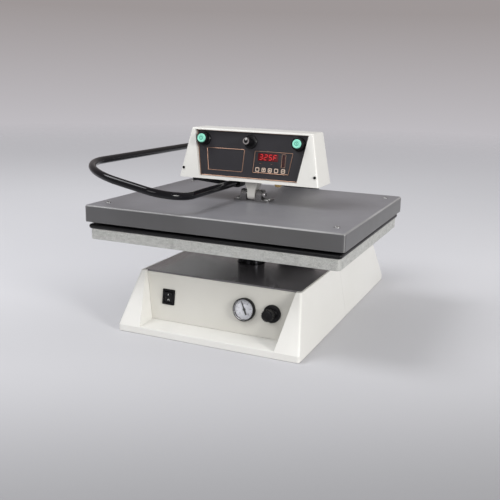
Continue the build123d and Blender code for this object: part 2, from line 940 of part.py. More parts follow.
def cover_screws():
    tip = heater_high - 8
    screws = []
    for i, (x, y) in enumerate(spacer_places()):
        seat = cover_high if i < 4 else cover_high + hanger_plate
        screws.append(button_screw(x, y, seat, tip))
    return screws


def hanger():
    z0, z1 = cover_high, cover_high + hanger_plate
    half = hanger_depth / 2
    bridge_front = lug_radius + lug_gap
    bridge_back = bridge_front + hanger_bridge
    body = slab(hanger_length, half + bridge_back, 4, z0, z1, 0, (bridge_back - half) / 2)
    body -= block(-ear_inside, ear_inside, -half - 1, bridge_front, z0 - 1, z1 + 1)
    top = pin_z + ear_rise
    for side in (-1, 1):
        outline = make_face(Polyline((-half, z0 + 1), (half, z0 + 1), (half, pin_z + 2),
                                     (ear_rise - 2, top), (2 - ear_rise, top), (-half, pin_z + 2),
                                     close=True))
        outline = fillet(outline.vertices().sort_by(Axis.Y)[2:], ear_round)
        ear = extrude(Plane.YZ.offset(min(side * ear_inside, side * (ear_inside + ear_thickness))) * outline,
                      ear_thickness)
        body += ear
    reach = 2 * (ear_inside + ear_thickness)
    body -= Pos(0, 0, pin_z) * Rot(0, 90, 0) * Cylinder(pin_diameter / 2, reach + 2)
    for x, y in spacer_places()[4:]:
        body -= rod(x, y, z0 - 1, z1 + 1, cover_screw)
    return body


def hanger_pin():
    face = ear_inside + ear_thickness
    shank = Rot(0, 90, 0) * Cylinder(pin_diameter / 2, 2 * face)
    head = Pos(face + pin_head_height / 2, 0, 0) * Rot(0, 90, 0) * Cylinder(pin_head / 2, pin_head_height)
    head = fillet(head.edges().group_by(Axis.X)[-1], 1.2)
    socket = extrude(RegularPolygon(pin_socket / 2, 6, major_radius=False), pin_head_height)
    head -= Pos(face + 2.5, 0, 0) * Rot(0, 90, 0) * socket
    return Pos(0, 0, pin_z) * (shank + head)


# Swing arm

def arm_lug():
    """Front lug of the arm: it flares towards the beam and is rounded about the cross pin."""
    front = make_face(Polyline(
        (-lug_foot_half, pin_z - lug_radius), (lug_foot_half, pin_z - lug_radius),
        (lug_foot_half, lug_flare_low), (lug_top_half, lug_flare_high), (lug_top_half, arm_low + 1),
        (-lug_top_half, arm_low + 1), (-lug_top_half, lug_flare_high), (-lug_foot_half, lug_flare_low),
        close=True))
    shape = extrude(Plane.XZ * front, 2 * lug_radius, both=True)
    side = Pos(0, pin_z) * Circle(lug_radius) + Pos(0, (pin_z + arm_low + 1) / 2) * Rectangle(
        2 * lug_radius, arm_low + 1 - pin_z)
    shape = shape & extrude(Plane.YZ * side, 2 * lug_top_half, both=True)
    return shape - Pos(0, 0, pin_z) * Rot(0, 90, 0) * Cylinder(pin_diameter / 2 + running_gap, 4 * lug_top_half)


def swing_arm():
    half = arm_width / 2
    beam = block(-half, half, -arm_front, column_y, arm_low, arm_high)
    beam = fillet(beam.edges().filter_by(Axis.Y), 5)
    hollow = block(-half + arm_wall, half - arm_wall, -arm_front + arm_wall,
                   column_y - hub_diameter / 2 + arm_wall, arm_low + arm_wall, arm_high - arm_wall)
    hub = rod(0, column_y, hub_low, hub_high, hub_diameter)
    hub = chamfer(hub.edges().group_by(Axis.Z)[0], 1.5)
    socket_x = -hub_diameter / 2 - socket_length / 2
    socket = Pos(socket_x + 6, column_y, handle_left_z) * Rot(0, 90, 0) * Cylinder(socket_diameter / 2, socket_length + 12)
    bore = Pos(socket_x - 6, column_y, handle_left_z) * Rot(0, 90, 0) * Cylinder(
        tube_diameter / 2, socket_length + 4)
    arm = beam - hollow + hub + socket + arm_lug()
    arm -= bore
    return arm - rod(0, column_y, hub_low - 1, hub_high + 1, spindle_diameter + 2 * bush_wall)


def arm_bush(z_flange, z_end):
    """Flanged bush: z_flange is the flange's outer face and z_end the far end of the sleeve."""
    step = arm_bush_flange_height if z_end > z_flange else -arm_bush_flange_height
    lo, hi = sorted((z_flange, z_end))
    flange_lo, flange_hi = sorted((z_flange, z_flange + step))
    bush = rod(0, column_y, lo, hi, spindle_diameter + 2 * bush_wall)
    bush += rod(0, column_y, flange_lo, flange_hi, arm_bush_flange)
    return bush - rod(0, column_y, lo - 1, hi + 1, spindle_diameter + 2 * running_gap)


def arm_bushes():
    return [
        arm_bush(hub_low - arm_bush_flange_height, hub_low + arm_bush_length),
        arm_bush(hub_high + arm_bush_flange_height, hub_high - arm_bush_length),
    ]


def hub_cap():
    z1 = hub_high + hub_cap_height
    cap = rod(0, column_y, hub_high, z1, hub_diameter)
    cap = fillet(cap.edges().group_by(Axis.Z)[-1], 5)
    return cap - rod(0, column_y, hub_high - 1, z1 - hub_cap_wall, hub_diameter - 2 * hub_cap_wall * 2)


# Control head

def head_share(z):
    return (z - head_low) / head_height


def head_half(z):
    return head_width / 2 + (head_top_width - head_width) / 2 * head_share(z)


def head_front_at(z):
    return -head_front + (head_front - head_top_front) * head_share(z)


def head_slice(z, inset, y_back):
    y0 = head_front_at(z) + inset
    width = 2 * (head_half(z) - inset)
    return Pos(0, (y0 + y_back) / 2, z) * RectangleRounded(width, y_back - y0, head_corner)


def head_opening_half(z):
    low, high = head_low + head_ledge_back, head_high - head_rim
    return head_opening_foot + (head_opening_top - head_opening_foot) * (z - low) / (high - low)


head_lean = atan2(head_front - head_top_front, head_height)


def head_panel_y(z):
    return head_front_at(z) + head_setback


def head_blank(depth0, depth1, margin):
    """Plate parallel to the head's panel, from depth0 to depth1 behind its face."""
    low, high = head_low + head_ledge_back + margin, head_high - head_rim - margin

    def half(z):
        return head_opening_half(z) - margin

    def edge(depth):
        push = depth / cos(head_lean)
        return ((head_panel_y(low) + push, low), (head_panel_y(high) + push, high))

    return wedge(half, half, edge(depth1), edge(depth0))


def head_recess(depth, grow):
    low, high = head_low + head_ledge_back - grow, head_high - head_rim + grow
    low_front = head_low + head_ledge_front - grow
    push = depth / cos(head_lean)
    out = -head_front - 4 * head_setback

    def half(z):
        return head_opening_half(z) + grow

    back = ((head_panel_y(low) + push, low), (head_panel_y(high) + push, high))
    return wedge(half, half, back, ((out, low_front), (out, high)))


head_plane = Plane(
    origin=(0, head_panel_y(head_low), head_low),
    x_dir=(1, 0, 0),
    z_dir=(0, -cos(head_lean), sin(head_lean)),
)


def on_head(x, z):
    """Place on the head's panel at a height z above the head's underside."""
    return head_plane.location * Pos(x, z / cos(head_lean), 0)


def head_casing():
    outer = loft([head_slice(head_low, 0, head_back), head_slice(head_high, 0, head_back)])
    outer = fillet(outer.edges().group_by(Axis.Z)[-1], head_edge)
    back = head_back + head_corner + head_wall
    cavity = loft([head_slice(head_low - 1, head_wall, back), head_slice(head_high - head_wall, head_wall, back)])
    seat_depth = head_panel_thickness + fit_gap
    cavity -= head_recess(seat_depth + head_wall, head_wall)
    body = outer - cavity - head_recess(seat_depth, 0)
    body -= head_blank(-1, seat_depth + 3 * head_wall, head_panel_seat)
    for side in (-1, 1):
        z = head_low + wing_screw_z
        y = head_front_at(z)
        body -= Pos(side * wing_screw_x, y, z) * Rot(90 - degrees(head_lean), 0, 0) * Cylinder(1.5, 12)
    return body


def head_tray():
    """Folded sheet that closes the head below and behind, with openings for the arm."""
    inset = head_wall + tray_gap
    tray = extrude(head_slice(head_low, inset, head_back), head_plate)
    cut = lug_top_half + 3
    tray -= block(-cut, cut, -lug_radius - 3, lug_radius + 3, head_low - 1, arm_low + 1)
    tray -= rod(gland_x, gland_y, head_low - 1, arm_low + 1, gland_thread)
    y0, y1 = head_back - head_plate, head_back
    high = head_high - inset

    def half(z):
        return head_half(z) - inset

    rear = wedge(half, half, ((y1, head_low), (y1, high)), ((y0, head_low), (y0, high)))
    notch = arm_width / 2 + 1.5
    rear -= block(-notch, notch, y0 - 1, y1 + 1, arm_low, arm_high + 1.5)
    for side in (-1, 1):
        for i in range(head_slots):
            z = high - 20 - i * 8
            rear -= block(side * 95 - 20, side * 95 + 20, y0 - 1, y1 + 1, z, z + 3)
    return tray + rear


def lead_gland():
    gland = rod(gland_x, gland_y, head_low, arm_low, gland_thread)
    gland += hexagon_bar(gland_x, gland_y, head_low - gland_height + 2, head_low, gland_hex)
    gland += rod(gland_x, gland_y, head_low - gland_height, head_low - gland_height + 2, gland_hex - 3)
    return gland - rod(gland_x, gland_y, head_low - gland_height - 1, head_low + 10, gland_thread / 2)


def head_screws():
    screws = []
    for side in (-1, 1):
        z = head_low + wing_screw_z
        y = head_front_at(z)
        head = Cylinder(wing_screw_head / 2, 1.6) + Pos(0, 0, -5) * Cylinder(1.4, 9)
        place = Pos(side * wing_screw_x, y, z) * Rot(90 - degrees(head_lean), 0, 0)
        screws.append(place * Pos(0, 0, 0.8) * head)
    return screws


def controller_outline(margin):
    outline = make_face(Polyline(
        (face_x0 + margin, face_low + margin), (face_foot_x1 - margin, face_low + margin),
        (face_top_x1 - margin, face_high - margin), (face_x0 + margin, face_high - margin), close=True))
    return scale(fillet(outline.vertices(), 2), (1, 1 / cos(head_lean), 1))


def head_panel():
    panel = head_blank(0, head_panel_thickness, fit_gap)
    cut = 6 * head_panel_thickness
    for x in (-button_x, button_x):
        panel -= on_head(x, button_z) * Cylinder(holder_thread / 2 + fit_gap, cut)
    panel -= on_head(0, selector_z) * Cylinder(holder_thread / 2 + fit_gap, cut)
    opening = extrude(controller_outline(controller_edge - fit_gap), cut, both=True)
    return panel - head_plane.location * opening


def window_shapes(grow, depth0, depth1):
    """Display and bar windows between two distances in front of the panel's face."""
    shapes = []
    sizes = ((display_x, display_z, display_width, display_height), (bar_x, bar_z, bar_width, bar_height))
    for x, z, width, height in sizes:
        middle = Pos(0, 0, (depth0 + depth1) / 2)
        shapes.append(on_head(x, z) * middle * Box(width + 2 * grow, height + 2 * grow, depth1 - depth0))
    return shapes


def controller():
    """Module with a thin face in front of the panel and its case behind, pocketed for the keys."""
    body = extrude(controller_outline(0), face_thickness)
    body += Pos(0, 0, -controller_depth) * extrude(controller_outline(controller_edge), controller_depth)
    body = head_plane.location * body
    for window in window_shapes(fit_gap, -window_depth, 2 * face_thickness):
        body -= window
    side = key_size + 2 * key_gap
    pocket = key_depth + key_travel + key_gap
    for x in key_xs:
        hole = extrude(RectangleRounded(side, side, key_round), pocket + 2 * face_thickness)
        body -= on_head(x, key_z) * Pos(0, 0, -pocket) * hole
    return body


def display_windows():
    return window_shapes(0, -window_depth, face_thickness * 0.6)


def key_part(x):
    tall = key_proud + key_depth
    key = extrude(RectangleRounded(key_size, key_size, key_round), tall)
    key = fillet(key.edges().group_by(Axis.Z)[-1], 0.5)
    return on_head(x, key_z) * Pos(0, 0, key_proud - tall) * key


def button_holder():
    holder = rod(0, 0, 0, holder_flange_height, holder_flange)
    holder = chamfer(holder.edges().group_by(Axis.Z)[-1], 1)
    holder += rod(0, 0, holder_flange_height, holder_reach, holder_sleeve)
    holder = fillet(holder.edges().group_by(Axis.Z)[-1], 1)
    holder += rod(0, 0, -holder_depth, 0, holder_thread)
    return holder - rod(0, 0, holder_reach - cap_seat, holder_reach + 1, cap_diameter + 2 * cap_gap)


def selector_holder():
    holder = rod(0, 0, 0, holder_flange_height, holder_flange)
    holder = chamfer(holder.edges().group_by(Axis.Z)[-1], 1)
    holder += rod(0, 0, -holder_depth, 0, holder_thread)
    return holder - rod(0, 0, -holder_depth / 2, holder_flange_height + 1, 8 + 2 * running_gap)


def button_holders():
    places = [on_head(-button_x, button_z), on_head(button_x, button_z)]
    return [place * button_holder() for place in places] + [on_head(0, selector_z) * selector_holder()]


def start_button(x):
    top = holder_reach + cap_proud
    z0 = holder_reach - cap_seat + button_travel + 0.5
    cap = rod(0, 0, z0, top, cap_diameter)
    cap = fillet(cap.edges().group_by(Axis.Z)[-1], 1.5)
    return on_head(x, button_z) * cap


def selector_knob():
    z0 = holder_flange_height + 0.4
    grip = Pos(0, 0, z0) * extrude(Circle(selector_diameter / 2), selector_reach - z0, taper=3)
    bar = Pos(0, 0, (selector_reach + z0) / 2 + 3) * Box(6, selector_diameter + 3, selector_reach - z0 - 6)
    bar = fillet(bar.edges().filter_by(Axis.Z), 2)
    knob = grip + bar
    knob -= Pos(0, selector_tip / 4, selector_reach) * Box(1.6, selector_tip / 2, 1.6)
    return on_head(0, selector_z) * (knob + rod(0, 0, -holder_depth / 2 + 1, z0, 8))


# Handle

def bent_wire(points, radii):
    """Straight runs through the points, each inner corner rounded by a tangent arc."""
    points = [Vector(*p) for p in points]
    edges = []
    start = points[0]
    for previous, corner, following, radius in zip(points, points[1:], points[2:], radii):
        into, out = (corner - previous).normalized(), (following - corner).normalized()
        turn = radians(into.get_angle(out))
        cut = radius * tan(turn / 2)
        arc_in, arc_out = corner - into * cut, corner + out * cut
        inward = (out - into).normalized()
        middle = corner + inward * (radius / cos(turn / 2) - radius)
        edges.append(Line(start, arc_in))
        edges.append(ThreePointArc(arc_in, middle, arc_out))
        start = arc_out
    edges.append(Line(start, points[-1]))
    return Wire(edges)


def handle():
    socket_end = -hub_diameter / 2 - 10
    path = bent_wire(
        [(handle_front_x, handle_start_y, handle_front_z), (handle_front_x, handle_front_y, handle_front_z),
         (handle_left_x, handle_front_y, handle_left_z), (handle_left_x, column_y, handle_left_z),
         (socket_end, column_y, handle_left_z)],
        [front_bend, left_bend, rear_bend])
    tube = swept_tube(path, tube_diameter) - swept_tube(path, tube_diameter - 2 * tube_wall)
    stay_rise = head_low - stay_foot_height - stay_diameter / 2
    stay = bent_wire([(handle_front_x - tube_diameter / 2 + tube_wall, stay_start_y, handle_front_z),
                      (stay_end_x, stay_end_y, stay_rise)], [])
    foot = rod(stay_end_x, stay_end_y, stay_rise - stay_diameter / 2, head_low, stay_foot)
    return tube + swept_tube(stay, stay_diameter) + foot


def handle_clamp():
    z0 = handle_front_z - clamp_below
    half = clamp_width / 2
    clamp = block(handle_front_x - half, handle_front_x + half, clamp_front, head_back - 1, z0, head_low)
    clamp = fillet(clamp.edges().filter_by(Axis.Y).group_by(Axis.Z)[0], 5)
    depth = handle_start_y - clamp_front
    bore = Pos(handle_front_x, clamp_front + depth / 2, handle_front_z) * Rot(90, 0, 0) * Cylinder(
        tube_diameter / 2, depth + 2)
    return clamp - bore


casing = base_casing()
nodes = {
    "base_front_cover": base_front_cover(casing),
    "base_rear_cover": base_rear_cover(casing),
    "control_panel": control_panel(),
    "top_plate": top_plate(),
    "chassis": chassis(),
    "casing_screws": casing_screws(),
    "rocker_bezel": rocker_bezel(),
    "rocker": rocker(),
    "gauge_case": gauge_case(),
    "gauge_dial": gauge_dial(),
    "gauge_glass": gauge_glass(),
    "gauge_needle": gauge_needle(),
    "regulator_body": regulator_body(),
    "regulator_nut": regulator_nut(),
    "regulator_knob": regulator_knob_part(),
    "solenoid_valve": solenoid_valve(),
    "air_inlet": air_inlet(),
    "cable_gland": cable_gland(),
    "cylinder_barrel": cylinder_barrel(),
    "cylinder_head": cylinder_head(),
    "rod_bush": rod_bush(),
    "column": column(),
    "spindle": spindle(),
    "spindle_nut": spindle_nut(),
    "foot_bolts": foot_bolts(),
    "tie_rods": tie_rods(),
    "piston": piston(),
    "lift_post": lift_post(),
    "table_screws": table_screws(),
    "lower_table": lower_table(),
    "press_pad": press_pad(),
    "heater_plate": heater_plate(),
    "heating_element": heating_element(),
    "insulation": insulation(),
    "platen_spacers": platen_spacers(),
    "platen_cover": platen_cover(),
    "cover_screws": cover_screws(),
    "hanger": hanger(),
    "hanger_pin": hanger_pin(),
    "swing_arm": swing_arm(),
    "arm_bushes": arm_bushes(),
    "hub_cap": hub_cap(),
    "head_casing": head_casing(),
    "head_tray": head_tray(),
    "lead_gland": lead_gland(),
    "head_screws": head_screws(),
    "head_panel": head_panel(),
    "controller": controller(),
    "display_windows": display_windows(),
    "button_holders": button_holders(),
    "start_button_left": start_button(-button_x),
    "start_button_right": start_button(button_x),
    "selector_knob": selector_knob(),
    "handle": handle(),
    "handle_clamp": handle_clamp(),
}
for number, x in enumerate(key_xs, 1):
    nodes[f"key_{number}"] = key_part(x)

for name, shape in nodes.items():
    solid = Compound(children=list(shape)) if isinstance(shape, list) else shape
    export_step(solid, f"parts/{name}.step")
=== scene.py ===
import bpy
import bmesh
import json
from math import atan2, cos, pi, radians, sin, tan
from mathutils import Matrix, Vector


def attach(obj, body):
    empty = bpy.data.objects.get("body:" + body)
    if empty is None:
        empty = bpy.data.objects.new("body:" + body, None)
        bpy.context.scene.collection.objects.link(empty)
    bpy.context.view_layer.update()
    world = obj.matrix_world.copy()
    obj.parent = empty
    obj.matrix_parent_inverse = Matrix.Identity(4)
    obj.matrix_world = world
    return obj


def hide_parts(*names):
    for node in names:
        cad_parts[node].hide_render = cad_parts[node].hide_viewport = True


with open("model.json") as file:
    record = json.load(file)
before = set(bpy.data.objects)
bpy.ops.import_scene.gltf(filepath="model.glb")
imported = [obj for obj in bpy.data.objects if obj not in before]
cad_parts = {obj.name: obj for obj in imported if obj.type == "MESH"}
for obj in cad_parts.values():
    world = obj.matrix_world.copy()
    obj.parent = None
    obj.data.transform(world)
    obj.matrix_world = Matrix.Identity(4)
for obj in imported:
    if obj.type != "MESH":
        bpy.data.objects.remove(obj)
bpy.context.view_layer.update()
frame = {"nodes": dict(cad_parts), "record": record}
scene = bpy.context.scene
scene.view_settings.view_transform = "Standard"
mm = 0.001
bodyOf = {node: body for body, nodes in frame["record"]["behaviour"]["bodies"].items() for node in nodes}
slotOf = {entry["node"]: entry["material_slot"] for entry in frame["record"]["subparts"]}
print("frame loaded:", len(bodyOf), "nodes")


def newObject(name, data):
    thing = bpy.data.objects.new(name, data)
    scene.collection.objects.link(thing)
    return thing


# Camera, from the photograph's own perspective
view = {
    "place": (0.6193, -1.4466, 0.5357),
    "yaw": 23.317,
    "pitch": 13.780,
    "roll": 1.430,
    "lens": 51.62,
    "sensor": 36.0,
    "reach": 60.0,
}


def aimCamera():
    yaw, pitch, roll = (radians(view[key]) for key in ("yaw", "pitch", "roll"))
    forward = Vector((-sin(yaw) * cos(pitch), cos(yaw) * cos(pitch), -sin(pitch)))
    flatRight = Vector((cos(yaw), sin(yaw), 0))
    flatUp = flatRight.cross(forward)
    right = cos(roll) * flatRight + sin(roll) * flatUp
    up = -sin(roll) * flatRight + cos(roll) * flatUp
    lens = bpy.data.cameras.new("pressCamera")
    lens.lens = view["lens"]
    lens.sensor_width = view["sensor"]
    lens.sensor_fit = "HORIZONTAL"
    lens.clip_end = view["reach"]
    camera = newObject("pressCamera", lens)
    turned = Matrix((right, up, -forward)).transposed().to_4x4()
    camera.matrix_world = Matrix.Translation(view["place"]) @ turned
    scene.camera = camera


aimCamera()
print("camera placed")


# Helpers for node trees

def feed(tree, value, socket):
    if isinstance(value, bpy.types.NodeSocket):
        tree.links.new(value, socket)
    else:
        socket.default_value = value


def addNode(tree, kind, feeds=None, **settings):
    node = tree.nodes.new(kind)
    for key, value in settings.items():
        setattr(node, key, value)
    for socket, value in (feeds or {}).items():
        feed(tree, value, node.inputs[socket])
    return node


def mixColours(tree, share, first, second):
    feeds = {0: share, 6: first, 7: second}
    node = addNode(tree, "ShaderNodeMix", feeds, data_type="RGBA", blend_type="MIX", clamp_factor=True)
    return node.outputs[2]


def calculate(tree, operation, *values, clamp=False):
    feeds = dict(enumerate(values))
    return addNode(tree, "ShaderNodeMath", feeds, operation=operation, use_clamp=clamp).outputs[0]


def times(tree, first, second, clamp=False):
    return calculate(tree, "MULTIPLY", first, second, clamp=clamp)


def onVectors(tree, operation, *values):
    return addNode(tree, "ShaderNodeVectorMath", dict(enumerate(values)), operation=operation).outputs


def spreadOut(tree, value, low, high, newLow=0.0, newHigh=1.0):
    feeds = {"Value": value, "From Min": low, "From Max": high, "To Min": newLow, "To Max": newHigh}
    return addNode(tree, "ShaderNodeMapRange", feeds, clamp=True).outputs["Result"]


def grain(tree, where, scale, detail=3.0, roughness=0.5):
    feeds = {"Vector": where, "Scale": scale, "Detail": detail, "Roughness": roughness}
    return addNode(tree, "ShaderNodeTexNoise", feeds, noise_dimensions="3D").outputs["Fac"]


def objectSpace(tree):
    return addNode(tree, "ShaderNodeTexCoord").outputs["Object"]


def blendShaders(tree, share, first, second, output):
    blend = addNode(tree, "ShaderNodeMixShader", {0: share, 1: first, 2: second})
    feed(tree, blend.outputs[0], tree.nodes[output].inputs["Surface"])


def newTree(name, family, inputs, outputs):
    tree = bpy.data.node_groups.new(name, family)
    for label, kind, value in inputs:
        socket = tree.interface.new_socket(label, in_out="INPUT", socket_type="NodeSocket" + kind)
        if value is not None:
            socket.default_value = value
    for label, kind in outputs:
        tree.interface.new_socket(label, in_out="OUTPUT", socket_type="NodeSocket" + kind)
    return tree, addNode(tree, "NodeGroupInput").outputs, addNode(tree, "NodeGroupOutput").inputs


# Shader groups

def colour(r, g, b):
    return (r, g, b, 1.0)


grey = colour(0.5, 0.5, 0.5)
paleDust = (0.6, 0.58, 0.54)
skinOutputs = (("Color", "Color"), ("Roughness", "Float"), ("Height", "Float"))


def varyRoughness(group, pattern, given, result):
    shift = times(group, calculate(group, "SUBTRACT", pattern, 0.5), given["Spread"])
    feed(group, calculate(group, "ADD", shift, given["Roughness"], clamp=True), result["Roughness"])


def buildPaintSkin():
    group, given, result = newTree("paintSkin", "ShaderNodeTree", (
        ("Paint", "Color", grey),
        ("Drift", "Color", grey),
        ("Drift Scale", "Float", 6.0),
        ("Grain Scale", "Float", 900.0),
        ("Roughness", "Float", 0.4),
        ("Spread", "Float", 0.1),
    ), skinOutputs)
    where = objectSpace(group)
    drift = spreadOut(group, grain(group, where, given["Drift Scale"], 4.0), 0.35, 0.68)
    feed(group, mixColours(group, drift, given["Paint"], given["Drift"]), result["Color"])
    patchScale = times(group, given["Drift Scale"], 5.0)
    varyRoughness(group, grain(group, where, patchScale, 5.0, 0.6), given, result)
    fine = grain(group, where, given["Grain Scale"], 2.0, 0.4)
    coarse = grain(group, where, times(group, given["Grain Scale"], 0.3), 1.0)
    feed(group, calculate(group, "ADD", fine, coarse), result["Height"])
    return group


def buildBrushedSkin():
    group, given, result = newTree("brushedSkin", "ShaderNodeTree", (
        ("Metal", "Color", grey),
        ("Streak", "Color", grey),
        ("Stretch", "Vector", (40.0, 900.0, 900.0)),
        ("Roughness", "Float", 0.35),
        ("Spread", "Float", 0.2),
    ), skinOutputs)
    where = objectSpace(group)
    streaks = grain(group, onVectors(group, "MULTIPLY", where, given["Stretch"])[0], 1.0, 4.0, 0.65)
    mask = spreadOut(group, streaks, 0.36, 0.64)
    clouds = spreadOut(group, grain(group, where, 25.0, 4.0), 0.3, 0.7)
    both = times(group, mask, calculate(group, "ADD", clouds, 0.35), clamp=True)
    feed(group, mixColours(group, both, given["Metal"], given["Streak"]), result["Color"])
    varyRoughness(group, mask, given, result)
    feed(group, streaks, result["Height"])
    return group


# Pale veil on upward faces: real dust on most finishes; on the platen enamel it is strong, nearly even and
# bluish, a painted sheen that lightens its top.
def buildDustVeil():
    group, given, result = newTree("dustAndSheenVeil", "ShaderNodeTree", (
        ("Color", "Color", grey),
        ("Dust And Sheen", "Color", colour(*paleDust)),
        ("Amount", "Float", 0.1),
        ("Scale", "Float", 14.0),
        ("Evenness", "Float", 0.0),
    ), (("Color", "Color"), ("Mask", "Float")))
    where = objectSpace(group)
    normal = addNode(group, "ShaderNodeNewGeometry").outputs["Normal"]
    facing = addNode(group, "ShaderNodeSeparateXYZ", {0: normal})
    upward = spreadOut(group, facing.outputs["Z"], 0.2, 1.0)
    patches = spreadOut(group, grain(group, where, given["Scale"], 6.0, 0.62), 0.42, 0.72)
    specks = spreadOut(group, grain(group, where, 700.0, 2.0), 0.62, 0.72)
    both = calculate(group, "MAXIMUM", patches, times(group, specks, 0.6))
    both = spreadOut(group, both, 0.0, 1.0, given["Evenness"], 1.0)
    mask = times(group, times(group, both, upward), given["Amount"])
    feed(group, mixColours(group, mask, given["Color"], given["Dust And Sheen"]), result["Color"])
    feed(group, mask, result["Mask"])
    return group


def buildScuffs():
    group, given, result = newTree("scuffs", "ShaderNodeTree", (
        ("Scale", "Float", 30.0),
        ("Width", "Float", 0.012),
        ("Amount", "Float", 0.3),
    ), (("Mask", "Float"),))
    where = objectSpace(group)
    bent = addNode(group, "ShaderNodeTexNoise", {"Vector": where, "Scale": 9.0}).outputs["Color"]
    shaken = onVectors(group, "MULTIPLY_ADD", bent, (0.05, 0.05, 0.05), where)[0]
    cells = addNode(group, "ShaderNodeTexVoronoi", {"Vector": shaken, "Scale": given["Scale"]},
                    feature="DISTANCE_TO_EDGE")
    lines = spreadOut(group, cells.outputs["Distance"], given["Width"], 0.0)
    patches = spreadOut(group, grain(group, where, 22.0, 3.0), 0.52, 0.66)
    worn = times(group, times(group, lines, patches), given["Amount"])
    feed(group, worn, result["Mask"])
    return group


skins = {
    "paint": buildPaintSkin(),
    "brushed": buildBrushedSkin(),
    "dustAndSheen": buildDustVeil(),
    "scuffs": buildScuffs(),
}
print("shader groups built:", len(skins))


# Materials

def newMaterial(name, values):
    material = bpy.data.materials.new(name)
    material.use_nodes = True
    tree = material.node_tree
    surface = tree.nodes["Principled BSDF"].inputs
    for label, value in values.items():
        surface[label].default_value = value
    return material, tree, surface


def useGroup(tree, name, feeds):
    return addNode(tree, "ShaderNodeGroup", feeds, node_tree=skins[name]).outputs


def bump(tree, surface, height, strength, distance):
    feeds = {"Height": height, "Strength": strength, "Distance": distance}
    feed(tree, addNode(tree, "ShaderNodeBump", feeds).outputs["Normal"], surface["Normal"])


paints = {
    "casingPaint": dict(
        paint=(0.80, 0.79, 0.755), drift=(0.765, 0.755, 0.715), rough=0.36, grainScale=520.0, depth=0.14,
        coat=0.15, dustAndSheen=0.05, scuff=0.08),
    "panelPaint": dict(
        paint=(0.70, 0.685, 0.635), drift=(0.66, 0.645, 0.59), rough=0.40, grainScale=620.0, depth=0.10,
        coat=0.1, dustAndSheen=0.05, scuff=0.1),
    "trayPaint": dict(
        paint=(0.76, 0.755, 0.72), drift=(0.72, 0.71, 0.67), rough=0.42, grainScale=520.0, depth=0.14,
        coat=0.1, dustAndSheen=0.1, scuff=0.1),
    "armPaint": dict(
        paint=(0.85, 0.835, 0.79), drift=(0.79, 0.77, 0.71), rough=0.42, grainScale=420.0, depth=0.3,
        coat=0.1, dustAndSheen=0.08, scuff=0.2),
    # The platen enamel's strong, nearly even bluish veil on upward faces is painted sheen, making its top
    # lighter than its front and sides.
    "platenEnamel": dict(
        paint=(0.082, 0.081, 0.081), drift=(0.092, 0.091, 0.094), rough=0.46, grainScale=700.0, depth=0.08,
        coat=0.6, dustAndSheen=0.34, scuff=0.10, specular=0.4, coatRough=0.38, dustAndSheenTint=(0.49, 0.485, 0.54), even=0.82),
    # Paler enamel for the platen cover's upward-slanting bevels and corners: a painted highlight.
    "enamelEdgeHighlight": dict(
        paint=(0.36, 0.36, 0.36), drift=(0.24, 0.24, 0.24), rough=0.35, grainScale=700.0, depth=0.05,
        coat=0.2),
    "baseGloss": dict(
        paint=(0.075, 0.070, 0.074), drift=(0.14, 0.132, 0.142), rough=0.18, grainScale=500.0, depth=0.05,
        coat=0.8, dustAndSheen=0.06, scuff=0.10),
    "blackGloss": dict(
        paint=(0.003, 0.003, 0.004), drift=(0.005, 0.005, 0.007), rough=0.10, grainScale=350.0, depth=0.02,
        scuff=0.03, specular=0.3),
    "overlayFilm": dict(
        paint=(0.018, 0.017, 0.021), drift=(0.026, 0.025, 0.030), rough=0.42, grainScale=1600.0, depth=0.08,
        dustAndSheen=0.02, scuff=0.05, specular=0.4),
    "blackPlastic": dict(
        paint=(0.005, 0.005, 0.006), drift=(0.009, 0.009, 0.010), rough=0.26, grainScale=1200.0, depth=0.08,
        scuff=0.05, specular=0.2),
    "blackRubber": dict(
        paint=(0.004, 0.004, 0.005), drift=(0.007, 0.007, 0.008), rough=0.40, grainScale=800.0, depth=0.15,
        specular=0.3),
    # Paler cast metal for the table's upward-slanting bevels: a painted highlight.
    "castEdgeHighlight": dict(
        paint=(0.60, 0.60, 0.58), drift=(0.46, 0.46, 0.44), rough=0.4, grainScale=700.0, depth=0.1),
    "heaterCoating": dict(
        paint=(0.016, 0.015, 0.015), drift=(0.03, 0.028, 0.025), rough=0.45, depth=0.2, scuff=0.3),
    "keyRubber": dict(
        paint=(0.012, 0.010, 0.010), drift=(0.018, 0.015, 0.015), rough=0.5, grainScale=1500.0, depth=0.1),
    "keyCream": dict(
        paint=(0.76, 0.60, 0.49), drift=(0.66, 0.50, 0.39), rough=0.5, grainScale=1500.0, depth=0.05),
    "dialWhite": dict(
        paint=(0.90, 0.90, 0.95), drift=(0.86, 0.86, 0.92), rough=0.5, depth=0.03),
    "feltWhite": dict(
        paint=(0.80, 0.78, 0.70), drift=(0.70, 0.67, 0.58), rough=0.9, grainScale=1500.0, depth=0.9),
    "inkBlack": dict(
        paint=(0.015, 0.015, 0.018), drift=(0.03, 0.03, 0.03), rough=0.5, depth=0.02),
    "inkWhite": dict(
        paint=(0.85, 0.85, 0.84), drift=(0.75, 0.75, 0.74), rough=0.45, depth=0.02),
}


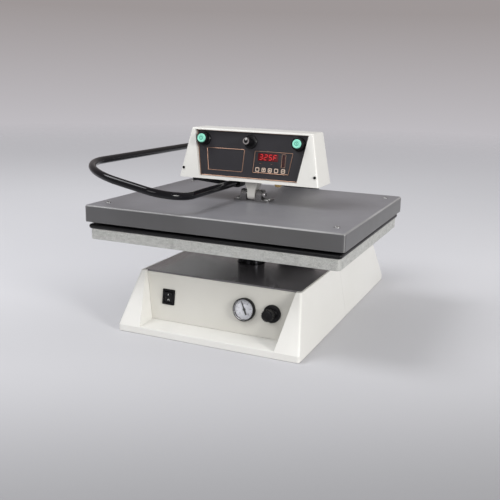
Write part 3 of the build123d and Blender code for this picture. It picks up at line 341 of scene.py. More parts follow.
def paintMaterial(name, paint, drift, rough, depth, grainScale=900.0, coat=0.0, coatRough=0.12,
                  dustAndSheen=0.0, dustAndSheenTint=paleDust, even=0.0, scuff=0.0, specular=0.5):
    material, tree, surface = newMaterial(name, {
        "Coat Weight": coat, "Coat Roughness": coatRough, "Specular IOR Level": specular})
    skin = useGroup(tree, "paint", {
        "Paint": colour(*paint), "Drift": colour(*drift), "Grain Scale": grainScale,
        "Roughness": rough, "Spread": 0.14})
    veil = useGroup(tree, "dustAndSheen", {
        "Color": skin["Color"], "Dust And Sheen": colour(*dustAndSheenTint), "Amount": dustAndSheen, "Evenness": even})
    lines = useGroup(tree, "scuffs", {"Amount": scuff})
    pale = tuple(min(1.0, c * 1.25 + 0.03) for c in paint)
    feed(tree, mixColours(tree, lines["Mask"], veil["Color"], colour(*pale)), surface["Base Color"])
    dulled = calculate(tree, "MULTIPLY_ADD", veil["Mask"], 0.4, skin["Roughness"])
    scraped = calculate(tree, "MULTIPLY_ADD", lines["Mask"], 0.25, dulled, clamp=True)
    feed(tree, scraped, surface["Roughness"])
    bump(tree, surface, skin["Height"], depth, 0.0004)
    return material


metals = {
    "zincSteel": dict(
        metal=(0.50, 0.51, 0.51), streak=(0.36, 0.37, 0.37), stretch=(60, 60, 700), rough=0.42, depth=0.15),
    "darkSteel": dict(
        metal=(0.34, 0.34, 0.34), streak=(0.18, 0.18, 0.18), stretch=(700, 60, 700), rough=0.30, depth=0.2),
    "brightSteel": dict(
        metal=(0.72, 0.72, 0.72), streak=(0.60, 0.60, 0.60), stretch=(300, 300, 300), rough=0.14,
        depth=0.03),
    "blackOxide": dict(
        metal=(0.045, 0.045, 0.05), streak=(0.025, 0.025, 0.028), stretch=(400, 400, 40), rough=0.22,
        depth=0.06),
    "turnedBrass": dict(
        metal=(0.66, 0.47, 0.20), streak=(0.50, 0.34, 0.13), stretch=(90, 90, 1500), rough=0.28, depth=0.1),
    "bushBronze": dict(
        metal=(0.50, 0.34, 0.17), streak=(0.36, 0.24, 0.12), stretch=(500, 500, 900), rough=0.45, depth=0.2),
    "anodised": dict(
        metal=(0.62, 0.63, 0.64), streak=(0.52, 0.53, 0.55), stretch=(120, 120, 900), rough=0.40, depth=0.1),
    "nickel": dict(
        metal=(0.66, 0.65, 0.62), streak=(0.55, 0.54, 0.50), stretch=(200, 200, 900), rough=0.2, depth=0.05),
    "copperLine": dict(
        metal=(0.60, 0.37, 0.26), streak=(0.45, 0.27, 0.19), stretch=(500, 500, 500), rough=0.38,
        depth=0.05),
}


def metalMaterial(name, metal, streak, stretch, rough, depth):
    material, tree, surface = newMaterial(name, {"Metallic": 1.0})
    skin = useGroup(tree, "brushed", {
        "Metal": colour(*metal), "Streak": colour(*streak), "Stretch": stretch,
        "Roughness": rough, "Spread": 0.16})
    veil = useGroup(tree, "dustAndSheen", {"Color": skin["Color"], "Amount": 0.06})
    feed(tree, veil["Color"], surface["Base Color"])
    feed(tree, skin["Roughness"], surface["Roughness"])
    bump(tree, surface, skin["Height"], depth, 0.0003)
    return material


cast = {
    "pale": colour(0.72, 0.725, 0.69), "mid": colour(0.52, 0.525, 0.495), "dark": colour(0.28, 0.285, 0.27),
    "patch": 110.0, "fleck": 520.0, "stretch": (90.0, 90.0, 260.0),
}


def tableMaterial():
    material, tree, surface = newMaterial("castAluminium", {"Metallic": 0.55})
    where = objectSpace(tree)
    flecks = spreadOut(tree, grain(tree, where, cast["fleck"], 3.0, 0.6), 0.38, 0.62)
    patches = spreadOut(tree, grain(tree, where, cast["patch"], 4.0, 0.6), 0.35, 0.66)
    skin = useGroup(tree, "brushed", {
        "Metal": cast["pale"], "Streak": cast["mid"], "Stretch": cast["stretch"],
        "Roughness": 0.46, "Spread": 0.2})
    spotted = mixColours(tree, times(tree, flecks, 0.55), skin["Color"], cast["dark"])
    clouded = mixColours(tree, times(tree, patches, 0.35), spotted, cast["pale"])
    feed(tree, clouded, surface["Base Color"])
    feed(tree, skin["Roughness"], surface["Roughness"])
    bump(tree, surface, calculate(tree, "ADD", flecks, patches), 0.25, 0.0003)
    return material


# The digits and the status lamps, which share windowRed, are lamps; the faint emission of the display and bar
# windows, the green lenses and their marks is painted glow on parts that are no lamps.
glows = {
    "windowRed": dict(
        lit=(0.085, 0.003, 0.005), unlit=(0.05, 0.0015, 0.003), strength=0.45, scale=900.0),
    "digitRed": dict(
        lit=(0.80, 0.045, 0.05), unlit=(0.60, 0.02, 0.025), strength=0.75, scale=1800.0),
    "barDark": dict(
        lit=(0.050, 0.014, 0.014), unlit=(0.022, 0.010, 0.012), strength=0.1, scale=900.0),
    "lensGreen": dict(
        lit=(0.31, 0.79, 0.62), unlit=(0.26, 0.71, 0.55), strength=0.1, scale=500.0, rough=0.25),
    "lensMark": dict(
        lit=(0.08, 0.36, 0.26), unlit=(0.06, 0.30, 0.21), strength=0.05, scale=500.0),
}


def glowMaterial(name, lit, unlit, strength, scale, rough=0.3):
    material, tree, surface = newMaterial(name, {"Specular IOR Level": 0.3, "Emission Strength": strength})
    dots = spreadOut(tree, grain(tree, objectSpace(tree), scale, 2.0), 0.3, 0.7)
    shade = mixColours(tree, dots, colour(*unlit), colour(*lit))
    feed(tree, shade, surface["Base Color"])
    feed(tree, shade, surface["Emission Color"])
    feed(tree, calculate(tree, "MULTIPLY_ADD", dots, 0.1, rough), surface["Roughness"])
    return material


def glassMaterial():
    material, tree, surface = newMaterial("gaugeGlass", {
        "Transmission Weight": 1.0, "Base Color": colour(0.97, 0.98, 0.98), "IOR": 1.45})
    smears = spreadOut(tree, grain(tree, objectSpace(tree), 60.0, 5.0), 0.4, 0.7, 0.0, 0.03)
    feed(tree, smears, surface["Roughness"])
    shaded = addNode(tree, "ShaderNodeLightPath").outputs["Is Shadow Ray"]
    clear = addNode(tree, "ShaderNodeBsdfTransparent").outputs[0]
    blendShaders(tree, shaded, tree.nodes["Principled BSDF"].outputs[0], clear, "Material Output")
    return material


looks = {name: paintMaterial(name, **values) for name, values in paints.items()}
looks.update({name: metalMaterial(name, **values) for name, values in metals.items()})
looks.update({"castAluminium": tableMaterial(), "gaugeGlass": glassMaterial()})
looks.update({name: glowMaterial(name, **values) for name, values in glows.items()})
print("materials built:", len(looks))

finishOf = {
    "casing_paint": "casingPaint", "panel_paint": "panelPaint", "tray_paint": "trayPaint",
    "dark_gloss": "baseGloss", "zinc_sheet": "zincSteel", "zinc_screws": "zincSteel",
    "black_screws": "blackOxide", "black_paint": "blackGloss", "post_black": "blackOxide",
    "arm_paint": "armPaint", "hanger_steel": "darkSteel", "pin_chrome": "brightSteel",
    "table_aluminium": "castAluminium", "pad_rubber": "blackRubber", "heater_coating": "heaterCoating",
    "element_steel": "darkSteel", "insulation_felt": "feltWhite", "cover_paint": "platenEnamel",
    "head_panel_paint": "overlayFilm", "controller_plastic": "overlayFilm", "window_red": "windowRed",
    "key_plastic": "keyRubber", "holder_plastic": "blackPlastic", "button_green": "lensGreen",
    "knob_plastic": "blackPlastic", "gland_brass": "turnedBrass", "bronze": "bushBronze",
    "cylinder_aluminium": "anodised", "valve_body": "anodised", "gauge_rim": "blackPlastic",
    "gauge_face": "dialWhite", "gauge_glass": "gaugeGlass", "needle_black": "inkBlack",
    "regulator_plastic": "blackPlastic", "switch_bezel": "blackPlastic", "switch_rocker": "blackPlastic",
    "fitting_nickel": "nickel", "gland_nylon": "blackPlastic",
}
for node, thing in frame["nodes"].items():
    thing.data.materials.clear()
    thing.data.materials.append(looks[finishOf[slotOf[node]]])


# Mesh helpers

def settle(thing, body):
    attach(thing, body)


def standIn(thing, node):
    settle(thing, bodyOf[node])
    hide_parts(node)


def shifted(place, x=0.0, y=0.0, z=0.0):
    return place @ Matrix.Translation((x * mm, y * mm, z * mm))


def smooth(mesh, angle=32.0):
    mesh.polygons.foreach_set("use_smooth", [True] * len(mesh.polygons))
    mesh.set_sharp_from_angle(angle=radians(angle))


def finishMesh(work, name, materials):
    mesh = bpy.data.meshes.new(name)
    for material in materials:
        mesh.materials.append(material)
    work.to_mesh(mesh)
    work.free()
    smooth(mesh)
    return newObject(name, mesh)


def lathe(name, profile, place, look, sides=64, closed=False):
    work = bmesh.new()
    turns = [2 * pi * i / sides for i in range(sides)]
    rings = []
    for radius, height in profile:
        spots = [(radius * mm * cos(a), radius * mm * sin(a), height * mm) for a in turns]
        if radius < 1e-6:
            spots = [(0, 0, height * mm)]
        rings.append([work.verts.new(spot) for spot in spots])
    pairs = list(zip(rings, rings[1:]))
    if closed:
        pairs.append((rings[-1], rings[0]))
    for low, high in pairs:
        for i in range(sides):
            j = (i + 1) % sides
            corners = [low[i % len(low)], low[j % len(low)], high[j % len(high)], high[i % len(high)]]
            unique = list(dict.fromkeys(corners))
            if len(unique) > 2:
                work.faces.new(unique)
    for end in (rings[0], rings[-1]):
        if len(end) > 1 and not closed:
            work.faces.new(end)
    bmesh.ops.recalc_face_normals(work, faces=work.faces)
    work.transform(place)
    return finishMesh(work, name, [looks[look]])


def roundRim(work, level, width):
    rim = [e for e in work.edges if all(abs(v.co.z - level * mm) < 1e-6 for v in e.verts)]
    bmesh.ops.bevel(work, geom=rim, offset=width * mm, segments=3, profile=0.5, affect="EDGES")


def prism(name, outline, low, high, place, look, topBevel=0.0, footBevel=0.0):
    work = bmesh.new()
    face = work.faces.new([work.verts.new((x * mm, y * mm, low * mm)) for x, y in outline])
    raised = bmesh.ops.extrude_face_region(work, geom=[face])
    tops = [v for v in raised["geom"] if isinstance(v, bmesh.types.BMVert)]
    bmesh.ops.translate(work, verts=tops, vec=(0, 0, (high - low) * mm))
    bmesh.ops.recalc_face_normals(work, faces=work.faces)
    for level, width in ((high, topBevel), (low, footBevel)):
        if width:
            roundRim(work, level, width)
    work.transform(place)
    return finishMesh(work, name, [looks[look]])


def mergeObjects(name, things):
    work = bmesh.new()
    materials = []
    for thing in things:
        start = len(work.faces)
        work.from_mesh(thing.data)
        work.faces.ensure_lookup_table()
        for face in work.faces[start:]:
            face.material_index += len(materials)
        materials += thing.data.materials
        bpy.data.objects.remove(thing)
    return finishMesh(work, name, materials)


def roundedOutline(width, height, corner, steps=6):
    points = []
    for sideX, sideY, start in ((1, 1, 0), (-1, 1, 90), (-1, -1, 180), (1, -1, 270)):
        for i in range(steps + 1):
            a = radians(start + 90 * i / steps)
            points.append((sideX * (width / 2 - corner) + corner * cos(a),
                           sideY * (height / 2 - corner) + corner * sin(a)))
    return points


def flatText(name, body, size, place, look):
    curve = bpy.data.curves.new(name, "FONT")
    curve.body = body
    curve.size = size * mm
    curve.align_x = "CENTER"
    curve.align_y = "CENTER"
    curve.extrude = 0.03 * mm
    made = plainCopy(newObject(name, curve), name)
    made.data.transform(place)
    made.data.materials.append(looks[look])
    return made


def plainCopy(holder, name):
    bpy.context.view_layer.update()
    evaluated = holder.evaluated_get(bpy.context.evaluated_depsgraph_get())
    mesh = bpy.data.meshes.new_from_object(evaluated)
    mesh.name = name
    holder.modifiers.clear()
    bpy.data.objects.remove(holder)
    return newObject(name, mesh)


# Geometry nodes: bent tubes, copies at points and bars in a ring

def shapeTree(name, inputs):
    shape = ("Geometry", "Geometry", None)
    material = ("Material", "Material", None)
    return newTree(name, "GeometryNodeTree", (shape, *inputs, material), (shape[:2],))


def finishTree(tree, shape, given, result):
    real = addNode(tree, "GeometryNodeRealizeInstances", {0: shape}).outputs[0]
    dress = addNode(tree, "GeometryNodeSetMaterial", {"Geometry": real, "Material": given["Material"]})
    feed(tree, dress.outputs[0], result["Geometry"])
    return tree


def namedValue(tree, name):
    return addNode(tree, "GeometryNodeInputNamedAttribute", {"Name": name}, data_type="FLOAT").outputs[0]


def buildTubeTree():
    tree, given, result = shapeTree("bentTube", (
        ("Radius", "Float", 0.007),
        ("Sides", "Int", 32),
        ("Bend Steps", "Int", 24),
    ))
    curve = addNode(tree, "GeometryNodeMeshToCurve", {"Mesh": given["Geometry"]}).outputs[0]
    rounded = addNode(tree, "GeometryNodeFilletCurve", {
        "Curve": curve, "Radius": namedValue(tree, "bend"), "Count": given["Bend Steps"]}, mode="POLY")
    ring = addNode(tree, "GeometryNodeCurvePrimitiveCircle",
                   {"Radius": given["Radius"], "Resolution": given["Sides"]})
    tube = addNode(tree, "GeometryNodeCurveToMesh",
                   {"Curve": rounded.outputs[0], "Profile Curve": ring.outputs[0], "Fill Caps": True})
    return finishTree(tree, tube.outputs[0], given, result)


def buildScatterTree():
    tree, given, result = shapeTree("scatterCopies", (("Copy", "Object", None),))
    source = addNode(tree, "GeometryNodeObjectInfo", {"Object": given["Copy"]})
    turn = addNode(tree, "ShaderNodeCombineXYZ", {"Z": namedValue(tree, "spin")})
    copies = addNode(tree, "GeometryNodeInstanceOnPoints", {
        "Points": given["Geometry"], "Instance": source.outputs["Geometry"], "Rotation": turn.outputs[0]})
    return finishTree(tree, copies.outputs[0], given, result)


def buildRingTree():
    tree, given, result = shapeTree("ringOfBars", (
        ("Count", "Int", 12),
        ("Reach", "Float", 0.02),
        ("Start", "Float", 0.0),
        ("Step", "Float", 0.5),
        ("Bar", "Vector", (0.001, 0.003, 0.001)),
    ))
    line = addNode(tree, "GeometryNodeMeshLine", {"Count": given["Count"]}).outputs[0]
    order = addNode(tree, "GeometryNodeInputIndex").outputs[0]
    turned = calculate(tree, "MULTIPLY_ADD", order, given["Step"], given["Start"])
    x, y = (times(tree, calculate(tree, wave, turned), given["Reach"])
            for wave in ("COSINE", "SINE"))
    spot = addNode(tree, "ShaderNodeCombineXYZ", {"X": x, "Y": y}).outputs[0]
    spread = addNode(tree, "GeometryNodeSetPosition", {"Geometry": line, "Position": spot})
    bar = addNode(tree, "GeometryNodeMeshCube", {"Size": given["Bar"]})
    turn = addNode(tree, "ShaderNodeCombineXYZ", {"Z": turned})
    copies = addNode(tree, "GeometryNodeInstanceOnPoints", {
        "Points": spread.outputs[0], "Instance": bar.outputs[0], "Rotation": turn.outputs[0]})
    return finishTree(tree, copies.outputs[0], given, result)


tubeTree = buildTubeTree()
scatterTree = buildScatterTree()
ringTree = buildRingTree()


def grow(name, points, edges, tree, values, attributes):
    mesh = bpy.data.meshes.new(name + "Points")
    mesh.from_pydata([tuple(c * mm for c in p) for p in points], edges, [])
    for label, numbers in attributes.items():
        mesh.attributes.new(label, "FLOAT", "POINT").data.foreach_set("value", numbers)
    carrier = newObject(name + "Carrier", mesh)
    modifier = carrier.modifiers.new("grow", "NODES")
    modifier.node_group = tree
    for item in tree.interface.items_tree:
        if item.in_out == "INPUT" and item.name in values:
            modifier[item.identifier] = values[item.name]
    carrier.update_tag()
    return plainCopy(carrier, name)


def tubeAlong(name, points, bends, radius, look, sides=32, steps=24, closed=False):
    edges = [(i, i + 1) for i in range(len(points) - 1)]
    if closed:
        edges.append((len(points) - 1, 0))
    values = {"Radius": radius * mm, "Sides": sides, "Bend Steps": steps, "Material": looks[look]}
    tube = grow(name, points, edges, tubeTree, values, {"bend": [b * mm for b in bends]})
    smooth(tube.data, 50)
    return tube


def copiesAt(name, template, points, look, spins):
    made = grow(name, points, [], scatterTree, {"Copy": template, "Material": looks[look]}, {"spin": spins})
    bpy.data.objects.remove(template)
    smooth(made.data)
    return made


# Bars stand evenly all the way round, or from one end of a shorter sweep to the other
def bars(name, count, reach, size, look, place, start=0.0, sweep=360.0):
    step = sweep / (count if sweep == 360.0 else count - 1)
    values = {"Count": count, "Reach": reach * mm, "Start": radians(start), "Step": radians(step),
              "Bar": tuple(s * mm for s in size), "Material": looks[look]}
    made = grow(name, [(0, 0, 0)], [], ringTree, values, {})
    made.data.transform(place)
    return made


print("geometry node trees built")

# Planes that the controls sit on, as in the part's source
headPlane = {"lean": atan2(17.0, 109.0), "y": -33.0, "z": 309.7}
basePlane = {"lean": radians(8.0), "y": -166.8, "z": 122.6, "drop": 52.5}


def slopedPlace(x, y, z, lean):
    across = Vector((1, 0, 0))
    upward = Vector((0, sin(lean), cos(lean)))
    outward = Vector((0, -cos(lean), sin(lean)))
    turned = Matrix((across, upward, outward)).transposed().to_4x4()
    return Matrix.Translation((x * mm, y * mm, z * mm)) @ turned


def onHead(x, z):
    rise = z * tan(headPlane["lean"])
    return slopedPlace(x, headPlane["y"] + rise, headPlane["z"] + z, headPlane["lean"])


def onPanel(x):
    lean, drop = basePlane["lean"], basePlane["drop"]
    return slopedPlace(x, basePlane["y"] - drop * sin(lean), basePlane["z"] - drop * cos(lean), lean)


# Sheet metal and machined solids: the CAD shape with softened edges, in millimetres
softened = {
    "base_front_cover": 0.9, "base_rear_cover": 0.9, "control_panel": 0.5, "top_plate": 0.4,
    "chassis": 0.5, "column": 0.8, "hub_cap": 0.6, "swing_arm": 0.8, "head_casing": 0.6,
    "head_tray": 0.4, "head_panel": 0.3, "controller": 0.2, "handle_clamp": 0.8, "hanger": 0.6,
    "platen_cover": 1.0, "lower_table": 1.0, "heater_plate": 0.8, "lift_post": 0.5, "arm_bushes": 0.4,
    "lead_gland": 0.4, "air_inlet": 0.4, "cable_gland": 0.5, "rocker_bezel": 0.4, "rocker": 0.5,
    "hanger_pin": 0.3, "casing_screws": 0.2, "table_screws": 0.4, "head_screws": 0.2,
}

# Two of them get paler faces on their upward-slanting bevels and outer corners, a painted highlight
paintedHighlightLooks = {"platen_cover": "enamelEdgeHighlight", "lower_table": "castEdgeHighlight"}


# Upward-slanting bevel faces and the outer corner faces take material 1, the painted highlight.
def wearEdges(mesh):
    reach = max(v.co.x for v in mesh.vertices) - 0.006
    for face in mesh.polygons:
        slanted = 0.3 < face.normal.z < 0.95
        corner = abs(face.center.x) > reach and 0.6 < abs(face.normal.x) < 0.85
        face.material_index = 1 if slanted or corner else 0


# Merge distance in metres and angles in degrees, the same for every softened solid
softening = {"merge": 2e-6, "flat": 0.4, "crease": 28, "bevelFrom": 40, "segments": 2}


def soften(node, width):
    s = softening
    mesh = frame["nodes"][node].data.copy()
    mesh.name = node + "Soft"
    work = bmesh.new()
    work.from_mesh(mesh)
    bmesh.ops.remove_doubles(work, verts=work.verts, dist=s["merge"])
    bmesh.ops.dissolve_limit(work, angle_limit=radians(s["flat"]), verts=work.verts, edges=work.edges)
    work.to_mesh(mesh)
    work.free()
    smooth(mesh, s["crease"])
    piece = newObject(node + "Soft", mesh)
    edge = piece.modifiers.new("softEdge", "BEVEL")
    edge.width = width * mm
    edge.segments = s["segments"]
    edge.limit_method = "ANGLE"
    edge.angle_limit = radians(s["bevelFrom"])
    edge.harden_normals = True
    edge.use_clamp_overlap = True
    standIn(piece, node)
    if node in paintedHighlightLooks:
        mesh.materials.append(looks[paintedHighlightLooks[node]])
        wearEdges(mesh)
        edge.material = 1


for softNode, softWidth in softened.items():
    soften(softNode, softWidth)
print("softened solids:", len(softened))

# Swing handle: one bent tube, its stay, the stay's foot and its weld
handleSizes = {
    "tube": 7.95,
    "run": [(-51, 36, 297), (-51, -255, 297), (-301.5, -255, 345.5), (-301.5, 310, 345.5),
            (-58, 310, 345.5)],
    "bends": [0, 70, 120, 70, 0],
    "stay": [(-56.5, -2, 297), (-150, 14, 300.7)],
    "stayRadius": 5.0,
    "foot": (-150, 14, 295.8),
    "weld": (-58.6, -1.6, 297.1),
}


def buildHandle():
    s = handleSizes
    tube = tubeAlong("handleTube", s["run"], s["bends"], s["tube"], "blackGloss", 48, 32)
    stay = tubeAlong("handleStay", s["stay"], [0, 0], s["stayRadius"], "blackGloss")
    foot = lathe("stayFoot", [(0, 0), (7.2, 0), (8, 0.8), (8, 13.0), (7.2, 13.8), (0, 13.8)],
                 shifted(Matrix(), *s["foot"]), "blackGloss")
    onStay = shifted(Matrix(), *s["weld"]) @ Matrix.Rotation(radians(-90), 4, "Y")
    bead = lathe("stayWeld", [(5.2, -1.2), (6.0, -0.6), (6.2, 0.4), (5.4, 1.6), (4.9, 2.0)],
                 onStay, "blackGloss", 48, True)
    standIn(mergeObjects("swingHandle", [tube, stay, foot, bead]), "handle")


buildHandle()
print("handle bent")

# Socket screws of the platen cover: four at its corners, four on the hanger
screwSizes = {
    "head": 5.5, "rise": 2.8, "socket": 2.3, "depth": 1.9, "shank": 2.9,
    "places": [(x, y, 263.7) for x in (-252, 252) for y in (-190, 190)]
              + [(x, y, 267.7) for x in (-34, 34) for y in (-7, 7)],
    "spins": [0.3, 1.1, 0.7, 0.2, 0.5, 0.9, 0.1, 1.3],
}


def buildScrews():
    s = screwSizes
    head, rise, socket = s["head"], s["rise"], s["socket"]
    pattern = lathe("screwPattern", [
        (s["shank"], -6), (s["shank"], 0), (head, 0), (head, 0.5), (head * 0.93, rise * 0.55),
        (head * 0.75, rise * 0.88), (head * 0.55, rise), (2.6, rise), (socket, rise - 0.3),
        (socket, rise - s["depth"]), (0, rise - s["depth"] - 0.4)], Matrix(), "zincSteel", 48)
    standIn(copiesAt("coverScrewSet", pattern, s["places"], "zincSteel", s["spins"]), "cover_screws")


buildScrews()
print("cover screws placed")

# Overlay of the control head: copper frames, display, bar window, key rims, marks
overlay = {
    "frames": {
        "left": [(-15, 19.4), (-96.5, 19.4), (-103.3, 66.8), (-13, 66.8)],
        "right": [(10.5, 20.6), (92, 20.6), (99.0, 65.6), (12.5, 65.6)],
        "border": [(-114.0, 7.4), (114.0, 7.4), (130.6, 103.8), (-130.6, 103.8)],
    },
    "proud": {"right": 0.8},
    "line": 0.62,
    "barLine": 0.35,
    "keys": (21.2, 35.8, 50.2, 64.6, 80.4),
    "keyHeight": 27.2,
    "keySide": 9.6,
    "keyProud": 1.6,
    "display": (43.0, 54.0, 46.6, 16.2),
    "digitStep": 10.6,
    "bar": (79.3, 48.5, 6.0, 25.0),
    "lamps": ((30.0, 40.2), (56.0, 40.2)),
}


def headPoints(outline, out):
    return [tuple(c / mm for c in (onHead(x, z) @ Vector((0, 0, out * mm)))) for x, z in outline]


def buildFrames():
    made = []
    for name, outline in overlay["frames"].items():
        points = headPoints(outline, overlay["proud"].get(name, 0.0))
        made.append(tubeAlong(name + "Frame", points, [1.5] * 4, overlay["line"], "copperLine", 8, 6, True))
    x, z, width, height = overlay["bar"]
    half, tall = width / 2 + 1.2, height / 2 + 1.2
    corners = [(x - half, z - tall), (x + half, z - tall), (x + half, z + tall), (x - half, z + tall)]
    rim = headPoints(corners, overlay["proud"]["right"])
    made.append(tubeAlong("barFrame", rim, [0.6] * 4, overlay["barLine"], "copperLine", 8, 4, True))
    settle(mergeObjects("copperFrames", made), "arm")


buildFrames()

segments = {
    "top": ((-2.6, 5.4), (2.6, 5.4)),
    "middle": ((-2.6, 0.0), (2.6, 0.0)),
    "bottom": ((-2.6, -5.4), (2.6, -5.4)),
    "upLeft": ((-3.1, 0.6), (-3.1, 4.8)),
    "upRight": ((3.1, 0.6), (3.1, 4.8)),
    "downLeft": ((-3.1, -4.8), (-3.1, -0.6)),
    "downRight": ((3.1, -4.8), (3.1, -0.6)),
}
figures = {
    "3": ("top", "middle", "bottom", "upRight", "downRight"),
    "2": ("top", "middle", "bottom", "upRight", "downLeft"),
    "5": ("top", "middle", "bottom", "upLeft", "downRight"),
    "F": ("top", "middle", "upLeft", "downLeft"),
}


def segmentOutline(start, end, half=0.525, slant=0.14):
    (x0, y0), (x1, y1) = start, end
    if abs(y0 - y1) < 0.01:
        shape = [(x0, y0), (x0 + half, y0 - half), (x1 - half, y0 - half), (x1, y0),
                 (x1 - half, y0 + half), (x0 + half, y0 + half)]
    else:
        shape = [(x0, y0), (x0 + half, y0 + half), (x0 + half, y1 - half), (x0, y1),
                 (x0 - half, y1 - half), (x0 - half, y0 + half)]
    return [(x + slant * y, y) for x, y in shape]


def buildDisplay():
    centre, level = overlay["display"][:2]
    lit = []
    for number, figure in enumerate("325F"):
        place = onHead(centre + (number - 1.5) * overlay["digitStep"], level)
        for segment in figures[figure]:
            outline = segmentOutline(*segments[segment])
            lit.append(prism("segment", outline, 0.48, 0.62, place, "digitRed"))
    settle(mergeObjects("displayFigures", lit), "arm")
    glass = []
    for (x, z, width, height), look in ((overlay["display"], "windowRed"), (overlay["bar"], "barDark")):
        outline = roundedOutline(width, height, 0.8, 3)
        glass.append(prism("window", outline, -2.0, 0.48, onHead(x, z), look, 0.2))
    standIn(mergeObjects("displayGlass", glass), "display_windows")


buildDisplay()

keyMarks = (
    [],
    [(0, -2.6), (2.8, 1.8), (-2.8, 1.8)],
    [(0, 2.6), (-2.8, -1.8), (2.8, -1.8)],
    [],
    [(1.3 * cos(2 * pi * i / 16), 1.3 * sin(2 * pi * i / 16)) for i in range(16)],
)


def buildKeys():
    side, high = overlay["keySide"], overlay["keyProud"]
    for number, (x, mark) in enumerate(zip(overlay["keys"], keyMarks), 1):
        place = onHead(x, overlay["keyHeight"])
        parts = [prism("keyCap", roundedOutline(side, side, 2.4), -1.4, high, place, "keyRubber", 0.5)]
        for name, outline, proud, look in (
            ("keyFace", roundedOutline(side - 0.5, side - 0.5, 2.1), 0.05, "keyCream"),
            ("keyPad", roundedOutline(side - 3.6, side - 3.6, 1.2), 0.1, "keyRubber"),
            ("keyMark", mark, 0.15, "keyCream"),
        ):
            if outline:
                parts.append(prism(name, outline, high - 0.3, high + proud, place, look))
        standIn(mergeObjects(f"softKey{number}", parts), f"key_{number}")


buildKeys()


def buildLamps():
    made = []
    for x, z in overlay["lamps"]:
        place = onHead(x, z)
        bulb = [(0, 0.6), (0.8, 0.6), (0.8, 0.9), (0.5, 1.1), (0, 1.15)]
        made.append(lathe("lamp", bulb, place, "windowRed", 24))
        tick = roundedOutline(3.4, 0.5, 0.2, 2)
        made.append(prism("lampTick", tick, 0.7, 0.86, shifted(place, x=-3.6), "copperLine"))
    settle(mergeObjects("statusLamps", made), "arm")


buildLamps()
print("overlay drawn")

# Two push buttons and the selector knob between them, each in a holder with the same root
buttonSizes = {
    "x": 111.0, "z": 85.3, "sleeve": 13.0, "reach": 16.0, "seat": 6.0, "ribs": 24, "cap": 9.4, "capTop": 19.6,
    "root": [(0, -30), (11, -30), (11, 0), (15, 0), (15, 2.6), (14.1, 3.6)],
}
selectorSizes = {
    "z": 84.0, "ribs": 18, "ribReach": 8.75, "face": 26.9,
    "body": [(0, -14), (4, -14), (4, 4.4), (9.4, 4.4), (9.5, 5.0), (9.1, 12), (8.5, 24.5), (8.1, 26.2),
             (7.4, 27), (0, 27)],
}


def buildHolders():
    s = buttonSizes
    sleeve, reach, bore = s["sleeve"], s["reach"], s["cap"] + 0.2
    holders = []
    for x in (-s["x"], s["x"]):
        place = onHead(x, s["z"])
        profile = s["root"] + [
            (sleeve + 0.4, 4.0), (sleeve, 4.6), (sleeve, reach - 1.2), (sleeve - 0.4, reach - 0.3),
            (sleeve - 1.2, reach), (bore + 0.3, reach), (bore, reach - 0.4), (bore, s["seat"]),
            (0, s["seat"])]
        holders.append(lathe("holder", profile, place, "blackPlastic"))
        holders.append(bars("holderRibs", s["ribs"], sleeve - 0.35, (0.9, 1.4, 9.0), "blackPlastic",
                            shifted(place, z=9.6)))
    profile = s["root"] + [(12.5, 4.0), (4.1, 4.0), (4.1, -15), (0, -15)]
    holders.append(lathe("selectorHolder", profile, onHead(0, selectorSizes["z"]), "blackPlastic"))
    standIn(mergeObjects("buttonBezels", holders), "button_holders")


def buildButtons():
    s = buttonSizes
    cap, top = s["cap"], s["capTop"]
    for side, x in (("left", -s["x"]), ("right", s["x"])):
        place = onHead(x, s["z"])
        body = lathe("cap", [
            (0, 10), (cap - 0.1, 10), (cap, 10.3), (cap, top - 1.6), (cap - 0.3, top - 0.7), (8.4, top - 0.1),
            (7.6, top), (6.8, top - 0.35), (0, top - 0.35)], place, "lensGreen")
        low, high = top - 0.4, top - 0.15
        mark = lathe("capRing", [(3.2, low), (3.2, high), (4.4, high), (4.4, low)], place, "lensMark",
                     48, True)
        stroke = prism("capStroke", roundedOutline(1.2, 5.0, 0.5, 3), low, high, place, "lensMark")
        standIn(mergeObjects("startCap" + side.title(), [body, mark, stroke]), "start_button_" + side)


def buildSelector():
    s = selectorSizes
    place, face = onHead(0, s["z"]), s["face"]
    body = lathe("selectorBody", s["body"], place, "blackPlastic")
    ribs = bars("selectorRibs", s["ribs"], s["ribReach"], (0.9, 1.3, 14.0), "blackPlastic",
                shifted(place, z=14.5))
    ring = lathe("selectorFace", [(4.4, face), (4.4, face + 0.22), (7.2, face + 0.22), (7.2, face)],
                 place, "brightSteel", 48, True)
    pointer = prism("selectorPointer", roundedOutline(2.0, 5.4, 0.9, 4), face, face + 0.3,
                    shifted(place, y=4.2), "inkWhite")
    standIn(mergeObjects("selectorHandle", [body, ribs, ring, pointer]), "selector_knob")


buildHolders()
buildButtons()
buildSelector()
print("head controls built")

# Pressure gauge on the base panel
gaugeSizes = {
    "x": 62.56, "rim": 24.0, "body": 21.8, "proud": 9.0, "face": 20.4, "dial": 1.8, "lens": 20.6,
    "numbers": 12.6, "numberSize": 3.8, "sweep": 270, "lift": 0.03, "needle": 17.4, "tail": 11.5,
    "rest": 25.0,
}


